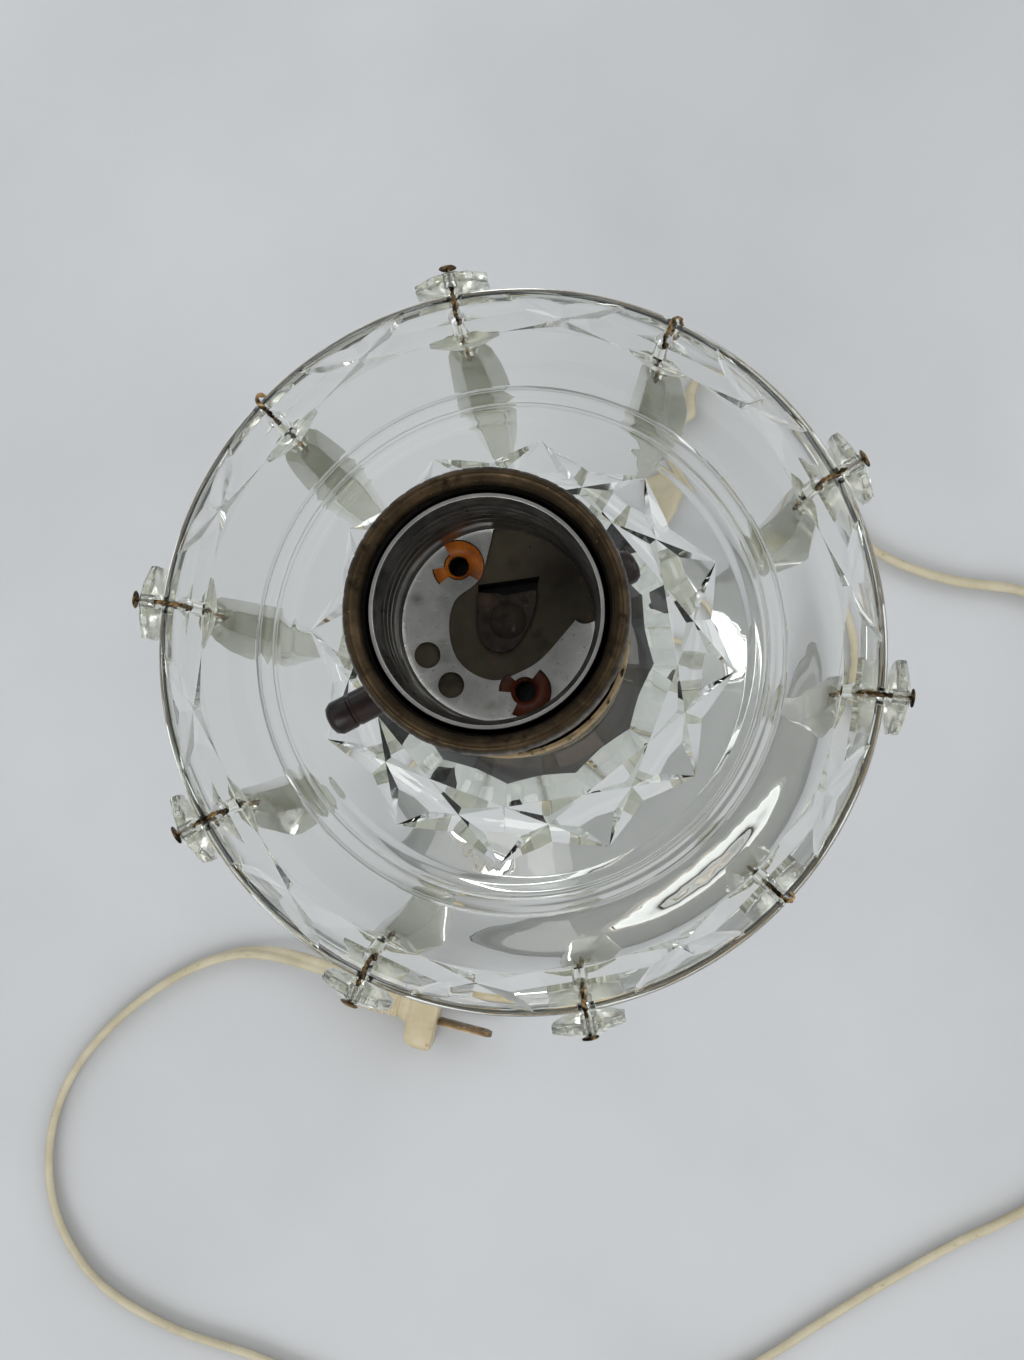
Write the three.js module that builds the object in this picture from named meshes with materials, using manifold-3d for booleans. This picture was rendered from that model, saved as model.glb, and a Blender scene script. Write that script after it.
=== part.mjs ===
import * as THREE from 'three';
import { mergeVertices } from 'three/addons/utils/BufferGeometryUtils.js';
import Module from 'manifold-3d';

// A boudoir table lamp: a clear glass foot, column and star-cut dish on one threaded pipe, ten glass
// drops on the dish's rim, a push-through lamp socket on top, and its cord with a two-blade plug.
// Millimetres, +Z up, the origin on the table under the column's axis.

const wasm = await Module();
wasm.setup();

// Clearances
const SEAT = 0.2; // between pieces stacked on the pipe
const SLIP = 0.3; // between a piece and the hole or sleeve that it sits in
const ROD_PLAY = 0.5; // round the push rod

// Threaded pipe, washer and nut
const PIPE_R = 4.9;
const PIPE_BORE_R = 3.4;
const PIPE_END_Z = 11;
const PIPE_INTO_CAP = 5;
const WASHER_R = 12.5;
const WASHER_T = 1.2;
const NUT_ACROSS_FLATS = 14.3;
const NUT_T = 4;

// Glass foot
const FOOT_R = 63.5;
const FOOT_H = 30;
const FOOT_EDGE_H = 6;
const FOOT_SEAT_R = 15;
const FOOT_RIM_W = 8;
const HOLLOW_H = 18;
const HOLLOW_TOP_R = 15;
const CORD_SLOT_W = 6;
const CORD_SLOT_H = 4.6;
const CORD_SLOT_ANGLE = 60;

// Glass column
const COLUMN_H = 196.3;
const COLUMN_SEAT_R = 15;
const COLUMN_VASE_R = 18;
const COLUMN_WAIST_R = 8.6;
const COLUMN_BALL_R = 27;
const COLUMN_BALL_BELOW_TOP = 41;
const COLUMN_NECK_R = 13;
const GASKET_T = 1.2;
const GASKET_R = 13.5;

// Star-cut glass dish
const DISH_R = 57;
const DISH_PLATE_T = 5;
const DISH_FLAT_R = 35.5;
const DISH_RIM_RISE = 4.5;
const DISH_RIM_W = 6.5;
const DISH_RIM_T = 5.4;
const STAR_POINTS = 12;
const STAR_SKIP = 3;
const STAR_R = 34.1;
const STAR_ANGLE = 24.4;
const STAR_CUT_DEPTH = 1.7;
const STAR_CUT_OUTER_W = 4.2;
const STAR_CUT_INNER_W = 2;
const RIM_CUT_FROM_AXIS = 49.6;
const RIM_CUT_DEPTH = 2;
const RIM_CUT_W = 2.6;

// Hanging drops
const DROPS = 10;
const DROPS_WITH_A_BARE_PIN = [2, 4, 9];
const DROP_ANGLE = 28.6;
const DROP_HOLE_FROM_EDGE = 4.2;
const DROP_HOLE_R = 1.3;
const BEAD_BEYOND_RIM = 2;
const SHANK_BELOW_RIM_TOP = 0.6;
const HOOK_BELOW_RIM_TOP = 8.8;
const WIRE_R = 0.35;
const PIN_HEAD_R = 1.4;
const PIN_HEAD_T = 0.5;
const OCTAGON_ACROSS = 11.6;
const OCTAGON_T = 3.8;
const OCTAGON_EDGE_T = 1.2;
const OCTAGON_TABLE_ACROSS = 4.6;
const OCTAGON_HOLE_R = 1.1;
const OCTAGON_HOLE_IN = 2.1;
const HANG_GAP = 0.1;
const LINK_W = 4.6;
const LINK_H = 3.4;
const LINK_SAG = 0.1;
const SPEAR_L = 96;
const SPEAR_W = 11.6;
const SPEAR_T = 7.4;
const SPEAR_TOP_W = 5.6;
const SPEAR_TOP_T = 3.4;
const SPEAR_WIDEST_AT = 0.45;

// Brass mounts under the socket
const CHECK_RING_R = 15.5;
const CHECK_RING_H = 3;
const NECK_R = 8.5;
const NECK_WAIST_R = 6.6;
const NECK_H = 9;

// Socket cap
const CAP_H = 21;
const CAP_R = 17.2;
const CAP_NECK_R = 7.2;
const CAP_NECK_H = 4.4;
const CAP_WALL = 0.8;
const SET_SCREW_R = 1.1;
const SET_SCREW_HEAD_R = 1.9;
const SET_SCREW_HEAD_T = 1.2;
const SET_SCREW_ANGLE = 207;

// Socket shell and the parts in it
const SHELL_H = 41.4;
const SHELL_BEAD_R = 17;
const SHELL_BEAD_H = 6.6;
const SHELL_MOUTH_R = 14.7;
const SHELL_WALL = 0.6;
const SHELL_IN_CAP = 4.5;
const LINER_WALL = 0.6;
const LINER_BELOW_MOUTH = 3.5;
const ROD_R = 2.375;
const ROD_L = 47.2;
const ROD_ANGLE = 27.4;
const ROD_ABOVE_SHELL_END = 7.8;
const ROD_OFF_CENTRE = -3.3;
const BODY_R = 14.3;
const BODY_BELOW_ROD = 10.5;
const BODY_ABOVE_ROD = 9;
const BODY_FLAT_FROM_AXIS = 11.6;
const TERMINAL_R = 2.6;
const TERMINAL_T = 1.6;
const TERMINAL_BELOW_ROD = 5.4;
const FIBRE_T = 1.2;
const SCREW_SHELL_FLOOR_R = 12.6;
const SCREW_SHELL_MOUTH_R = 14;
const SCREW_SHELL_H = 21;
const SCREW_SHELL_WALL = 0.5;
const SCREW_PITCH = 3.63;
const SCREW_TURNS = 3.5;
const SCREW_DEPTH = 0.6;
const CONTACT_T = 0.5;
const BUSHING_FROM_AXIS = 9.3;
const BUSHING_R = 2.6;
const BUSHING_BORE_R = 1.1;
const BUSHING_H = 1.1;
const BUSHING_ANGLES = [124.2, 292.1];
const FLOOR_HOLE_R = 1.7;
const FLOOR_HOLES = [[-9.2, -3.9], [-6.1, -7.8]];

// Cord: a flat twin lead, 1.8 m from the foot to the plug
const CORD_W = 4.6;
const CORD_H = 2.4;
const CONDUCTOR_R = 0.8;
const CORD_IN_SLOT = 3;
const CORD_GAP = 0.3;
const COIL_CENTRE = [176, -55];
const COIL_OUTER_R = 34;
const COIL_TURNS = 6.5;
const COIL_PITCH = 5.1;
const COIL_INNER_BEND = 0.75;
const COIL_LAYER = 2.95;
const COIL_STEPS_A_TURN = 24;

// Plug
const PLUG_FACE = [-34.9, -85.3];
const PLUG_ANGLE = -13.9;
const PLUG_FACE_W = 30;
const PLUG_FACE_H = 15;
const PLUG_FACE_DEPTH = 8.4;
const PLUG_GRIP_W = 16;
const PLUG_GRIP_H = 12;
const PLUG_L = 30;
const PLUG_TAIL_W = 8;
const PLUG_ROUNDING = 1;
const BLADE_APART = 12.7;
const BLADE_W = 6.35;
const BLADE_T = 1.5;
const BLADE_L = 16;
const BLADE_HOLE_R = 1.75;

// Heights of the stack, from the table up
const footTopZ = FOOT_H;
const columnZ = footTopZ + GASKET_T + 2 * SEAT;
const columnTopZ = columnZ + COLUMN_H;
const plateZ = columnTopZ + GASKET_T + 2 * SEAT;
const plateTopZ = plateZ + DISH_PLATE_T;
const rimTopZ = plateTopZ + DISH_RIM_RISE;
const checkRingZ = plateTopZ + SEAT;
const neckZ = checkRingZ + CHECK_RING_H + SEAT;
const capZ = neckZ + NECK_H + SEAT;
const shellZ = capZ + CAP_H - SHELL_IN_CAP;
const rodZ = shellZ + ROD_ABOVE_SHELL_END;
const bodyTopZ = rodZ + BODY_ABOVE_ROD;
const fibreZ = bodyTopZ + SEAT;
const floorZ = fibreZ + FIBRE_T + SEAT;
const pipeClearR = PIPE_R + SLIP;
const shellR = CAP_R - CAP_WALL - SLIP;
const linerR = shellR - SHELL_WALL - SLIP;
const shankZ = rimTopZ - SHANK_BELOW_RIM_TOP;
const hookZ = rimTopZ - HOOK_BELOW_RIM_TOP;
const rimBeadFromAxis = DISH_R + BEAD_BEYOND_RIM;
const hookFromAxis = DISH_R - DROP_HOLE_FROM_EDGE;
const beadBelowWire = OCTAGON_HOLE_R - WIRE_R - HANG_GAP + OCTAGON_ACROSS / 2 - OCTAGON_HOLE_IN;
const linkZ = hookZ - beadBelowWire - OCTAGON_ACROSS / 2 + OCTAGON_HOLE_IN;

// Materials
function finish(color, roughness, metalness) {
  return new THREE.MeshStandardMaterial({ color, roughness, metalness });
}

const clearGlass = finish(0xdfe4dc, 0.05, 0);
clearGlass.transparent = true;
clearGlass.opacity = 0.4;
const dropGlass = finish(0xd6dacb, 0.12, 0);
dropGlass.transparent = true;
dropGlass.opacity = 0.55;
const agedBrass = finish(0x4a3a22, 0.45, 1);
const brightBrass = finish(0xb08a4a, 0.35, 1);
const steel = finish(0x8d8d88, 0.4, 1);
const aluminium = finish(0xa9a9a6, 0.35, 1);
const bakelite = finish(0x1c1210, 0.3, 0);
const fibre = finish(0x6f685a, 0.9, 0);
const blackFibre = finish(0x15130f, 0.9, 0);
const contactMetal = finish(0x3c332a, 0.5, 1);
const amber = finish(0xc06a1c, 0.3, 0);
const rubber = finish(0xcfd0c6, 0.8, 0);
const wire = finish(0x5a4526, 0.5, 1);
const creamCord = finish(0xcfc4a6, 0.5, 0);
const creamPlug = finish(0xcdb98a, 0.45, 0);

const lamp = new THREE.Group();
lamp.name = 'boudoir_table_lamp';

// Shared shape helpers
const radians = THREE.MathUtils.degToRad;

function onCircle(radius, angle, z = 0) {
  return new THREE.Vector3(radius * Math.cos(radians(angle)), radius * Math.sin(radians(angle)), z);
}

function addPiece(name, geometry, material, parent = lamp) {
  const mesh = new THREE.Mesh(geometry, material);
  mesh.name = name;
  parent.add(mesh);
  return mesh;
}

function volumeOf(geometry) {
  const flat = geometry.index ? geometry.toNonIndexed() : geometry;
  const corner = flat.attributes.position;
  const a = new THREE.Vector3();
  const b = new THREE.Vector3();
  const c = new THREE.Vector3();
  let sum = 0;
  for (let i = 0; i < corner.count; i += 3) {
    a.fromBufferAttribute(corner, i);
    b.fromBufferAttribute(corner, i + 1);
    c.fromBufferAttribute(corner, i + 2);
    sum += a.dot(b.cross(c)) / 6;
  }
  return sum;
}

// A profile of [radius, height] points turned about the upright axis
function revolve(profile, segments = 40) {
  const turned = (points) => new THREE.LatheGeometry(points, segments).rotateX(Math.PI / 2);
  const points = profile.map(([radius, height]) => new THREE.Vector2(radius, height));
  const geometry = turned(points);
  return volumeOf(geometry) > 0 ? geometry : turned(points.reverse());
}

// A smooth run of profile points through the given ones
function smooth(points, count) {
  const curve = new THREE.SplineCurve(points.map(([radius, height]) => new THREE.Vector2(radius, height)));
  return curve.getSpacedPoints(count).map((point) => [point.x, point.y]);
}

function ring(outerR, innerR, z, height, segments = 32) {
  const profile = [[innerR, z], [outerR, z], [outerR, z + height], [innerR, z + height], [innerR, z]];
  return revolve(profile, segments);
}

function rod(radius, from, to, sides = 16) {
  const along = new THREE.Vector3().subVectors(to, from);
  const geometry = new THREE.CylinderGeometry(radius, radius, along.length(), sides);
  const upright = new THREE.Vector3(0, 1, 0);
  const turn = new THREE.Quaternion().setFromUnitVectors(upright, along.clone().normalize());
  const middle = new THREE.Vector3().addVectors(from, to).multiplyScalar(0.5);
  return geometry.applyQuaternion(turn).translate(middle.x, middle.y, middle.z);
}

function toSolid(geometry) {
  const bare = new THREE.BufferGeometry();
  bare.setAttribute('position', geometry.attributes.position.clone());
  if (geometry.index) {
    bare.setIndex(geometry.index.clone());
  }
  const merged = mergeVertices(bare, 1e-4);
  const index = merged.index.array;
  const kept = [];
  for (let i = 0; i < index.length; i += 3) {
    const [a, b, c] = [index[i], index[i + 1], index[i + 2]];
    if (a !== b && b !== c && c !== a) {
      kept.push(a, b, c);
    }
  }
  const vertProperties = Float32Array.from(merged.attributes.position.array);
  const mesh = new wasm.Mesh({ numProp: 3, vertProperties, triVerts: Uint32Array.from(kept) });
  mesh.merge();
  return new wasm.Manifold(mesh);
}

function toGeometry(solid) {
  const mesh = solid.getMesh();
  const geometry = new THREE.BufferGeometry();
  geometry.setAttribute('position', new THREE.BufferAttribute(Float32Array.from(mesh.vertProperties), 3));
  geometry.setIndex(new THREE.BufferAttribute(Uint32Array.from(mesh.triVerts), 1));
  geometry.computeVertexNormals();
  return geometry;
}

function cutFrom(geometry, tools) {
  return toGeometry(tools.reduce((solid, tool) => solid.subtract(toSolid(tool)), toSolid(geometry)));
}

function joined(geometries) {
  return toGeometry(geometries.map(toSolid).reduce((solid, next) => solid.add(next)));
}

// Rings of points joined in order, closed at both ends
function loft(sections) {
  const sides = sections[0].length;
  const corners = sections.flat().flatMap((point) => [point.x, point.y, point.z]);
  const index = [];
  for (let s = 0; s < sections.length - 1; s += 1) {
    for (let i = 0; i < sides; i += 1) {
      const a = s * sides + i;
      const b = s * sides + ((i + 1) % sides);
      index.push(a, b, a + sides, b, b + sides, a + sides);
    }
  }
  const last = (sections.length - 1) * sides;
  for (let i = 1; i < sides - 1; i += 1) {
    index.push(0, i + 1, i, last, last + i, last + i + 1);
  }
  const geometry = new THREE.BufferGeometry();
  geometry.setAttribute('position', new THREE.Float32BufferAttribute(corners, 3));
  geometry.setIndex(index);
  if (volumeOf(geometry) < 0) {
    for (let i = 0; i < index.length; i += 3) {
      [index[i], index[i + 1]] = [index[i + 1], index[i]];
    }
    geometry.setIndex(index);
  }
  geometry.computeVertexNormals();
  return geometry;
}

// A long V-shaped groove cutter that tapers to a point at both ends, as a mitre wheel leaves it.
// It lies along X, its bottom edge at height depth, outerW wide on -Y and innerW wide on +Y.
function grooveCutter(halfLength, depth, outerW, innerW, stations, roundness) {
  const below = 1;
  const sections = [];
  for (let i = 0; i <= stations; i += 1) {
    const along = -1 + (2 * i) / stations;
    const share = Math.max(1 - Math.abs(along) ** roundness, 0.004);
    const x = along * halfLength;
    sections.push([
      new THREE.Vector3(x, -outerW * share, -below),
      new THREE.Vector3(x, innerW * share, -below),
      new THREE.Vector3(x, innerW * share, 0),
      new THREE.Vector3(x, 0, depth * share),
      new THREE.Vector3(x, -outerW * share, 0),
    ]);
  }
  return loft(sections);
}

// Glass foot

function footGeometry() {
  const dome = smooth([
    [FOOT_R - 2.2, FOOT_EDGE_H + 1.6],
    [FOOT_R * 0.8, FOOT_EDGE_H + (FOOT_H - FOOT_EDGE_H) * 0.2],
    [FOOT_R * 0.55, FOOT_EDGE_H + (FOOT_H - FOOT_EDGE_H) * 0.4],
    [FOOT_R * 0.36, FOOT_EDGE_H + (FOOT_H - FOOT_EDGE_H) * 0.68],
    [FOOT_SEAT_R + 1, FOOT_H - 2],
  ], 7);
  const hollowR = FOOT_R - FOOT_RIM_W;
  const hollow = smooth([
    [HOLLOW_TOP_R, HOLLOW_H],
    [HOLLOW_TOP_R + (hollowR - HOLLOW_TOP_R) * 0.2, HOLLOW_H * 0.9],
    [HOLLOW_TOP_R + (hollowR - HOLLOW_TOP_R) * 0.48, HOLLOW_H * 0.6],
    [HOLLOW_TOP_R + (hollowR - HOLLOW_TOP_R) * 0.8, HOLLOW_H * 0.36],
    [hollowR - 2, HOLLOW_H * 0.2],
    [hollowR, 0],
  ], 7);
  const profile = [
    [hollowR, 0],
    [FOOT_R - 1.2, 0],
    [FOOT_R, 1.2],
    [FOOT_R, FOOT_EDGE_H - 1.5],
    [FOOT_R - 0.7, FOOT_EDGE_H + 0.3],
    ...dome,
    [FOOT_SEAT_R, FOOT_H],
    [pipeClearR, FOOT_H],
    [pipeClearR, HOLLOW_H],
    ...hollow,
  ];
  const slotLength = FOOT_R + CORD_SLOT_W;
  const slot = new THREE.BoxGeometry(slotLength, CORD_SLOT_W, 2 * CORD_SLOT_H);
  slot.translate(slotLength / 2, 0, 0).rotateZ(radians(CORD_SLOT_ANGLE));
  return cutFrom(revolve(profile, 36), [slot]);
}

addPiece('glass_foot', footGeometry(), clearGlass);

// Pipe with the washer and nut that hold the stack

const pipeTopZ = capZ + PIPE_INTO_CAP;
addPiece('threaded_pipe', ring(PIPE_R, PIPE_BORE_R, PIPE_END_Z, pipeTopZ - PIPE_END_Z, 24), steel);

const washerZ = HOLLOW_H - SEAT - WASHER_T;
addPiece('foot_washer', ring(WASHER_R, pipeClearR, washerZ, WASHER_T, 28), steel);

function nutGeometry() {
  const cornerR = NUT_ACROSS_FLATS / Math.sqrt(3);
  const hexagon = new THREE.CylinderGeometry(cornerR, cornerR, NUT_T, 6).rotateX(Math.PI / 2);
  const bore = new THREE.CylinderGeometry(pipeClearR, pipeClearR, 2 * NUT_T, 24).rotateX(Math.PI / 2);
  return cutFrom(hexagon, [bore]);
}

addPiece('foot_nut', nutGeometry(), steel).position.z = washerZ - SEAT - NUT_T / 2;

// Glass column between two soft gaskets

addPiece('foot_gasket', ring(GASKET_R, pipeClearR, footTopZ + SEAT, GASKET_T, 28), rubber);
addPiece('dish_gasket', ring(GASKET_R, pipeClearR, columnTopZ + SEAT, GASKET_T, 28), rubber);

function columnGeometry() {
  const ballZ = COLUMN_H - COLUMN_BALL_BELOW_TOP;
  const ball = [];
  for (let tilt = -68; tilt <= 58; tilt += 18) {
    ball.push([COLUMN_BALL_R * Math.cos(radians(tilt)), ballZ + COLUMN_BALL_R * Math.sin(radians(tilt))]);
  }
  const stem = smooth([
    [COLUMN_SEAT_R - 3, 6],
    [COLUMN_VASE_R - 4, COLUMN_H * 0.08],
    [COLUMN_VASE_R, COLUMN_H * 0.19],
    [COLUMN_VASE_R - 5, COLUMN_H * 0.33],
    [COLUMN_WAIST_R, COLUMN_H * 0.46],
    [COLUMN_WAIST_R, COLUMN_H * 0.6],
  ], 9);
  const profile = [
    [pipeClearR, 0],
    [COLUMN_SEAT_R - 1, 0],
    [COLUMN_SEAT_R, 1],
    [COLUMN_SEAT_R, 3],
    ...stem,
    ...ball,
    [COLUMN_NECK_R, ballZ + COLUMN_BALL_R * 0.92],
    [COLUMN_NECK_R, COLUMN_H - 9],
    [COLUMN_NECK_R + 2, COLUMN_H - 4],
    [COLUMN_NECK_R + 4, COLUMN_H - 1.5],
    [COLUMN_NECK_R + 4, COLUMN_H],
    [pipeClearR, COLUMN_H],
    [pipeClearR, 0],
  ];
  return revolve(profile, 28);
}

addPiece('glass_column', columnGeometry(), clearGlass).position.z = columnZ;

// Star-cut dish with a mitre-cut rim

function starCutters() {
  const toTip = radians(180 / STAR_POINTS) * STAR_SKIP;
  const fromAxis = STAR_R * Math.cos(toTip);
  const halfLength = STAR_R * Math.sin(toTip);
  const cutters = [];
  for (let i = 0; i < STAR_POINTS; i += 1) {
    const groove = grooveCutter(halfLength, STAR_CUT_DEPTH, STAR_CUT_OUTER_W, STAR_CUT_INNER_W, 6, 2);
    const middleAngle = radians(STAR_ANGLE + (360 / STAR_POINTS) * (i + STAR_SKIP / 2));
    cutters.push(groove.translate(0, -fromAxis, 0).rotateZ(middleAngle + Math.PI / 2));
  }
  return cutters;
}

function rimCutters() {
  const halfLength = DISH_R / 2 + RIM_CUT_W;
  const top = DISH_PLATE_T + DISH_RIM_RISE;
  const cutters = [];
  for (let i = 0; i < DROPS; i += 1) {
    const groove = grooveCutter(halfLength, RIM_CUT_DEPTH, RIM_CUT_W, RIM_CUT_W, 2, 1);
    groove.rotateX(Math.PI).translate(0, -RIM_CUT_FROM_AXIS, top);
    const middleAngle = radians(DROP_ANGLE + (360 / DROPS) * i);
    cutters.push(groove.rotateZ(middleAngle + Math.PI / 2));
  }
  return cutters;
}

function dropHoles() {
  const holes = [];
  for (let i = 0; i < DROPS; i += 1) {
    const angle = DROP_ANGLE + (360 / DROPS) * i;
    const bottom = onCircle(DISH_R - DROP_HOLE_FROM_EDGE, angle, -1);
    const top = onCircle(DISH_R - DROP_HOLE_FROM_EDGE, angle, DISH_PLATE_T + DISH_RIM_RISE + 1);
    holes.push(rod(DROP_HOLE_R, bottom, top, 6));
  }
  return holes;
}

function dishGeometry() {
  const rimTop = DISH_PLATE_T + DISH_RIM_RISE;
  const rimInnerR = DISH_R - DISH_RIM_W;
  const rimUnder = rimTop - DISH_RIM_T;
  const bowl = smooth([
    [DISH_FLAT_R, DISH_PLATE_T],
    [DISH_FLAT_R + 4, DISH_PLATE_T + DISH_RIM_RISE * 0.12],
    [rimInnerR - 5, DISH_PLATE_T + DISH_RIM_RISE * 0.45],
    [rimInnerR, rimTop - 0.6],
  ], 4);
  const under = smooth([
    [DISH_R - 2, rimUnder],
    [rimInnerR - 2, rimUnder - 1.6],
    [DISH_FLAT_R + 7, 0.9],
    [DISH_FLAT_R + 1.5, 0],
  ], 4);
  const profile = [
    [pipeClearR, 0],
    [pipeClearR, DISH_PLATE_T],
    ...bowl,
    [rimInnerR + 1.3, rimTop],
    [DISH_R - 2.4, rimTop],
    [DISH_R - 0.7, rimTop - 0.9],
    [DISH_R, rimTop - 2.4],
    [DISH_R - 0.5, rimTop - 4],
    ...under,
    [pipeClearR, 0],
  ];
  return cutFrom(revolve(profile, 50), [...starCutters(), ...rimCutters(), ...dropHoles()]);
}

addPiece('glass_dish', dishGeometry(), clearGlass).position.z = plateZ;

// Ten drops. A wire pin comes down through a hole in the rim and ends in a hook. Its head holds an
// octagon against the rim's edge, and a second octagon with a spear below it hangs on the hook.

// Drop pieces are drawn in a plane through the axis: X outward, Z up
const inPlane = (x, z) => new THREE.Vector3(x, 0, z);

// A thin wire that bends in that plane, through the given [x, z] points
function bentWire(points) {
  const sides = 5;
  const along = new THREE.Vector3();
  const sections = points.map(([x, z], i) => {
    const before = points[Math.max(i - 1, 0)];
    const after = points[Math.min(i + 1, points.length - 1)];
    along.set(after[0] - before[0], 0, after[1] - before[1]).normalize();
    const section = [];
    for (let s = 0; s < sides; s += 1) {
      const angle = (s / sides) * 2 * Math.PI;
      const across = WIRE_R * Math.cos(angle);
      section.push(new THREE.Vector3(x - along.z * across, WIRE_R * Math.sin(angle), z + along.x * across));
    }
    return section;
  });
  return loft(sections);
}

// From the rim's edge over its top, down through the hole and round to the hook's end
function pinPath() {
  const overRim = rimTopZ + WIRE_R + SLIP;
  const inHole = hookFromAxis + DROP_HOLE_R * Math.cos(Math.PI / 6) - WIRE_R - SEAT;
  return [
    [DISH_R - 1.8, overRim],
    [inHole + 0.8, overRim],
    [inHole + 0.15, overRim - 0.35],
    [inHole, overRim - 1.1],
    [inHole, rimTopZ - DISH_RIM_T - 1],
    [hookFromAxis + 1.9, hookZ + 1.5],
    [hookFromAxis + 2.2, hookZ + 0.6],
    [hookFromAxis + 1.7, hookZ],
    [hookFromAxis - 1.7, hookZ],
    [hookFromAxis - 2.3, hookZ + 0.6],
  ];
}

function headedPinGeometry() {
  const headX = rimBeadFromAxis + OCTAGON_T / 2 - SEAT;
  const shank = bentWire([
    [headX, shankZ],
    [DISH_R + 0.9, shankZ],
    [DISH_R - 0.3, shankZ + 0.5],
    ...pinPath(),
  ]);
  const head = rod(PIN_HEAD_R, inPlane(headX - 0.05, shankZ), inPlane(headX + PIN_HEAD_T, shankZ), 8);
  return joined([shank, head]);
}

// A pin that has lost its outer octagon ends in a short tail at the rim's edge
function barePinGeometry() {
  return bentWire([[DISH_R + 1.6, shankZ + 1], [DISH_R + 0.2, shankZ + 1], ...pinPath()]);
}

// An octagon with its flat faces across X and a hole near its top and bottom edges
function octagonGeometry(x, z, holeSides) {
  const toCorner = 1 / Math.cos(Math.PI / 8);
  const edgeR = (OCTAGON_ACROSS / 2) * toCorner;
  const tableR = (OCTAGON_TABLE_ACROSS / 2) * toCorner;
  const profile = [
    [0, -OCTAGON_T / 2],
    [tableR, -OCTAGON_T / 2],
    [edgeR, -OCTAGON_EDGE_T / 2],
    [edgeR, OCTAGON_EDGE_T / 2],
    [tableR, OCTAGON_T / 2],
    [0, OCTAGON_T / 2],
  ];
  const bead = revolve(profile, 8).rotateZ(Math.PI / 8).rotateY(Math.PI / 2);
  const holeUp = OCTAGON_ACROSS / 2 - OCTAGON_HOLE_IN;
  const holes = holeSides.map((side) => rod(
    OCTAGON_HOLE_R,
    inPlane(-OCTAGON_T, side * holeUp),
    inPlane(OCTAGON_T, side * holeUp),
    8,
  ));
  return cutFrom(bead, holes).translate(x, 0, z);
}

function spearSection(width, thickness, z) {
  const facet = width * 0.24;
  const corners = [
    [0, -width / 2], [thickness / 2, -facet], [thickness / 2, facet],
    [0, width / 2], [-thickness / 2, facet], [-thickness / 2, -facet],
  ];
  return corners.map(([x, y]) => new THREE.Vector3(hookFromAxis + x, y, z));
}

// A spear on a wire link that goes through the lower hole of the octagon above it
function spearGeometry() {
  const topZ = linkZ - LINK_H;
  const tip = 0.05;
  const spear = loft([
    spearSection(SPEAR_TOP_W, SPEAR_TOP_T, topZ),
    spearSection(SPEAR_TOP_W * 1.35, SPEAR_TOP_T * 1.3, topZ - SPEAR_L * 0.07),
    spearSection(SPEAR_W, SPEAR_T, topZ - SPEAR_L * SPEAR_WIDEST_AT),
    spearSection(SPEAR_W * 0.72, SPEAR_T * 0.74, topZ - SPEAR_L * 0.78),
    spearSection(SPEAR_W * tip, SPEAR_T * tip, topZ - SPEAR_L),
  ]);
  const half = LINK_W / 2;
  const oneSide = [
    [SPEAR_TOP_T * 0.24, -LINK_H - 1.2],
    [SPEAR_TOP_T * 0.38, -LINK_H],
    [half - 0.1, -LINK_H * 0.5],
    [half, -LINK_H * 0.22],
    [half - 0.3, -0.2],
    [half - 0.9, -LINK_SAG],
  ];
  const otherSide = oneSide.map(([x, z]) => [-x, z]).reverse();
  const link = bentWire([...oneSide, ...otherSide].map(([x, z]) => [hookFromAxis + x, linkZ + z]));
  return joined([spear, link]);
}

const headedPin = headedPinGeometry();
const barePin = barePinGeometry();
const rimOctagon = octagonGeometry(rimBeadFromAxis, shankZ - beadBelowWire, [-1, 1]);
const hangingOctagon = octagonGeometry(hookFromAxis, hookZ - beadBelowWire, [-1, 1]);
const spear = spearGeometry();
const spearWithOctagon = joined([spear, octagonGeometry(hookFromAxis, hookZ - beadBelowWire, [1])]);
for (let i = 1; i <= DROPS; i += 1) {
  const bare = DROPS_WITH_A_BARE_PIN.includes(i);
  const drop = new THREE.Group();
  drop.rotation.z = radians(DROP_ANGLE + (360 / DROPS) * (i - 1));
  lamp.add(drop);
  addPiece(`hanger_pin_${i}`, bare ? barePin : headedPin, wire, drop);
  addPiece(`octagon_bead_${i}`, bare ? hangingOctagon : rimOctagon, dropGlass, drop);
  addPiece(`spear_drop_${i}`, bare ? spear : spearWithOctagon, dropGlass, drop);
}

// Brass check ring and neck between the dish and the socket

function checkRingGeometry() {
  return revolve([
    [pipeClearR, 0],
    [CHECK_RING_R, 0],
    [CHECK_RING_R, CHECK_RING_H * 0.3],
    [CHECK_RING_R - 1.5, CHECK_RING_H * 0.6],
    [CHECK_RING_R * 0.66, CHECK_RING_H],
    [pipeClearR, CHECK_RING_H],
    [pipeClearR, 0],
  ], 32);
}

function neckGeometry() {
  return revolve([
    [pipeClearR, 0],
    [NECK_R, 0],
    [NECK_R, NECK_H * 0.14],
    [NECK_WAIST_R, NECK_H * 0.34],
    [NECK_WAIST_R, NECK_H * 0.66],
    [NECK_R, NECK_H * 0.86],
    [NECK_R, NECK_H],
    [pipeClearR, NECK_H],
    [pipeClearR, 0],
  ], 28);
}

addPiece('check_ring', checkRingGeometry(), agedBrass).position.z = checkRingZ;
addPiece('socket_neck', neckGeometry(), agedBrass).position.z = neckZ;

// Socket cap with its set screw

const setScrewZ = CAP_NECK_H / 2;

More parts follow.
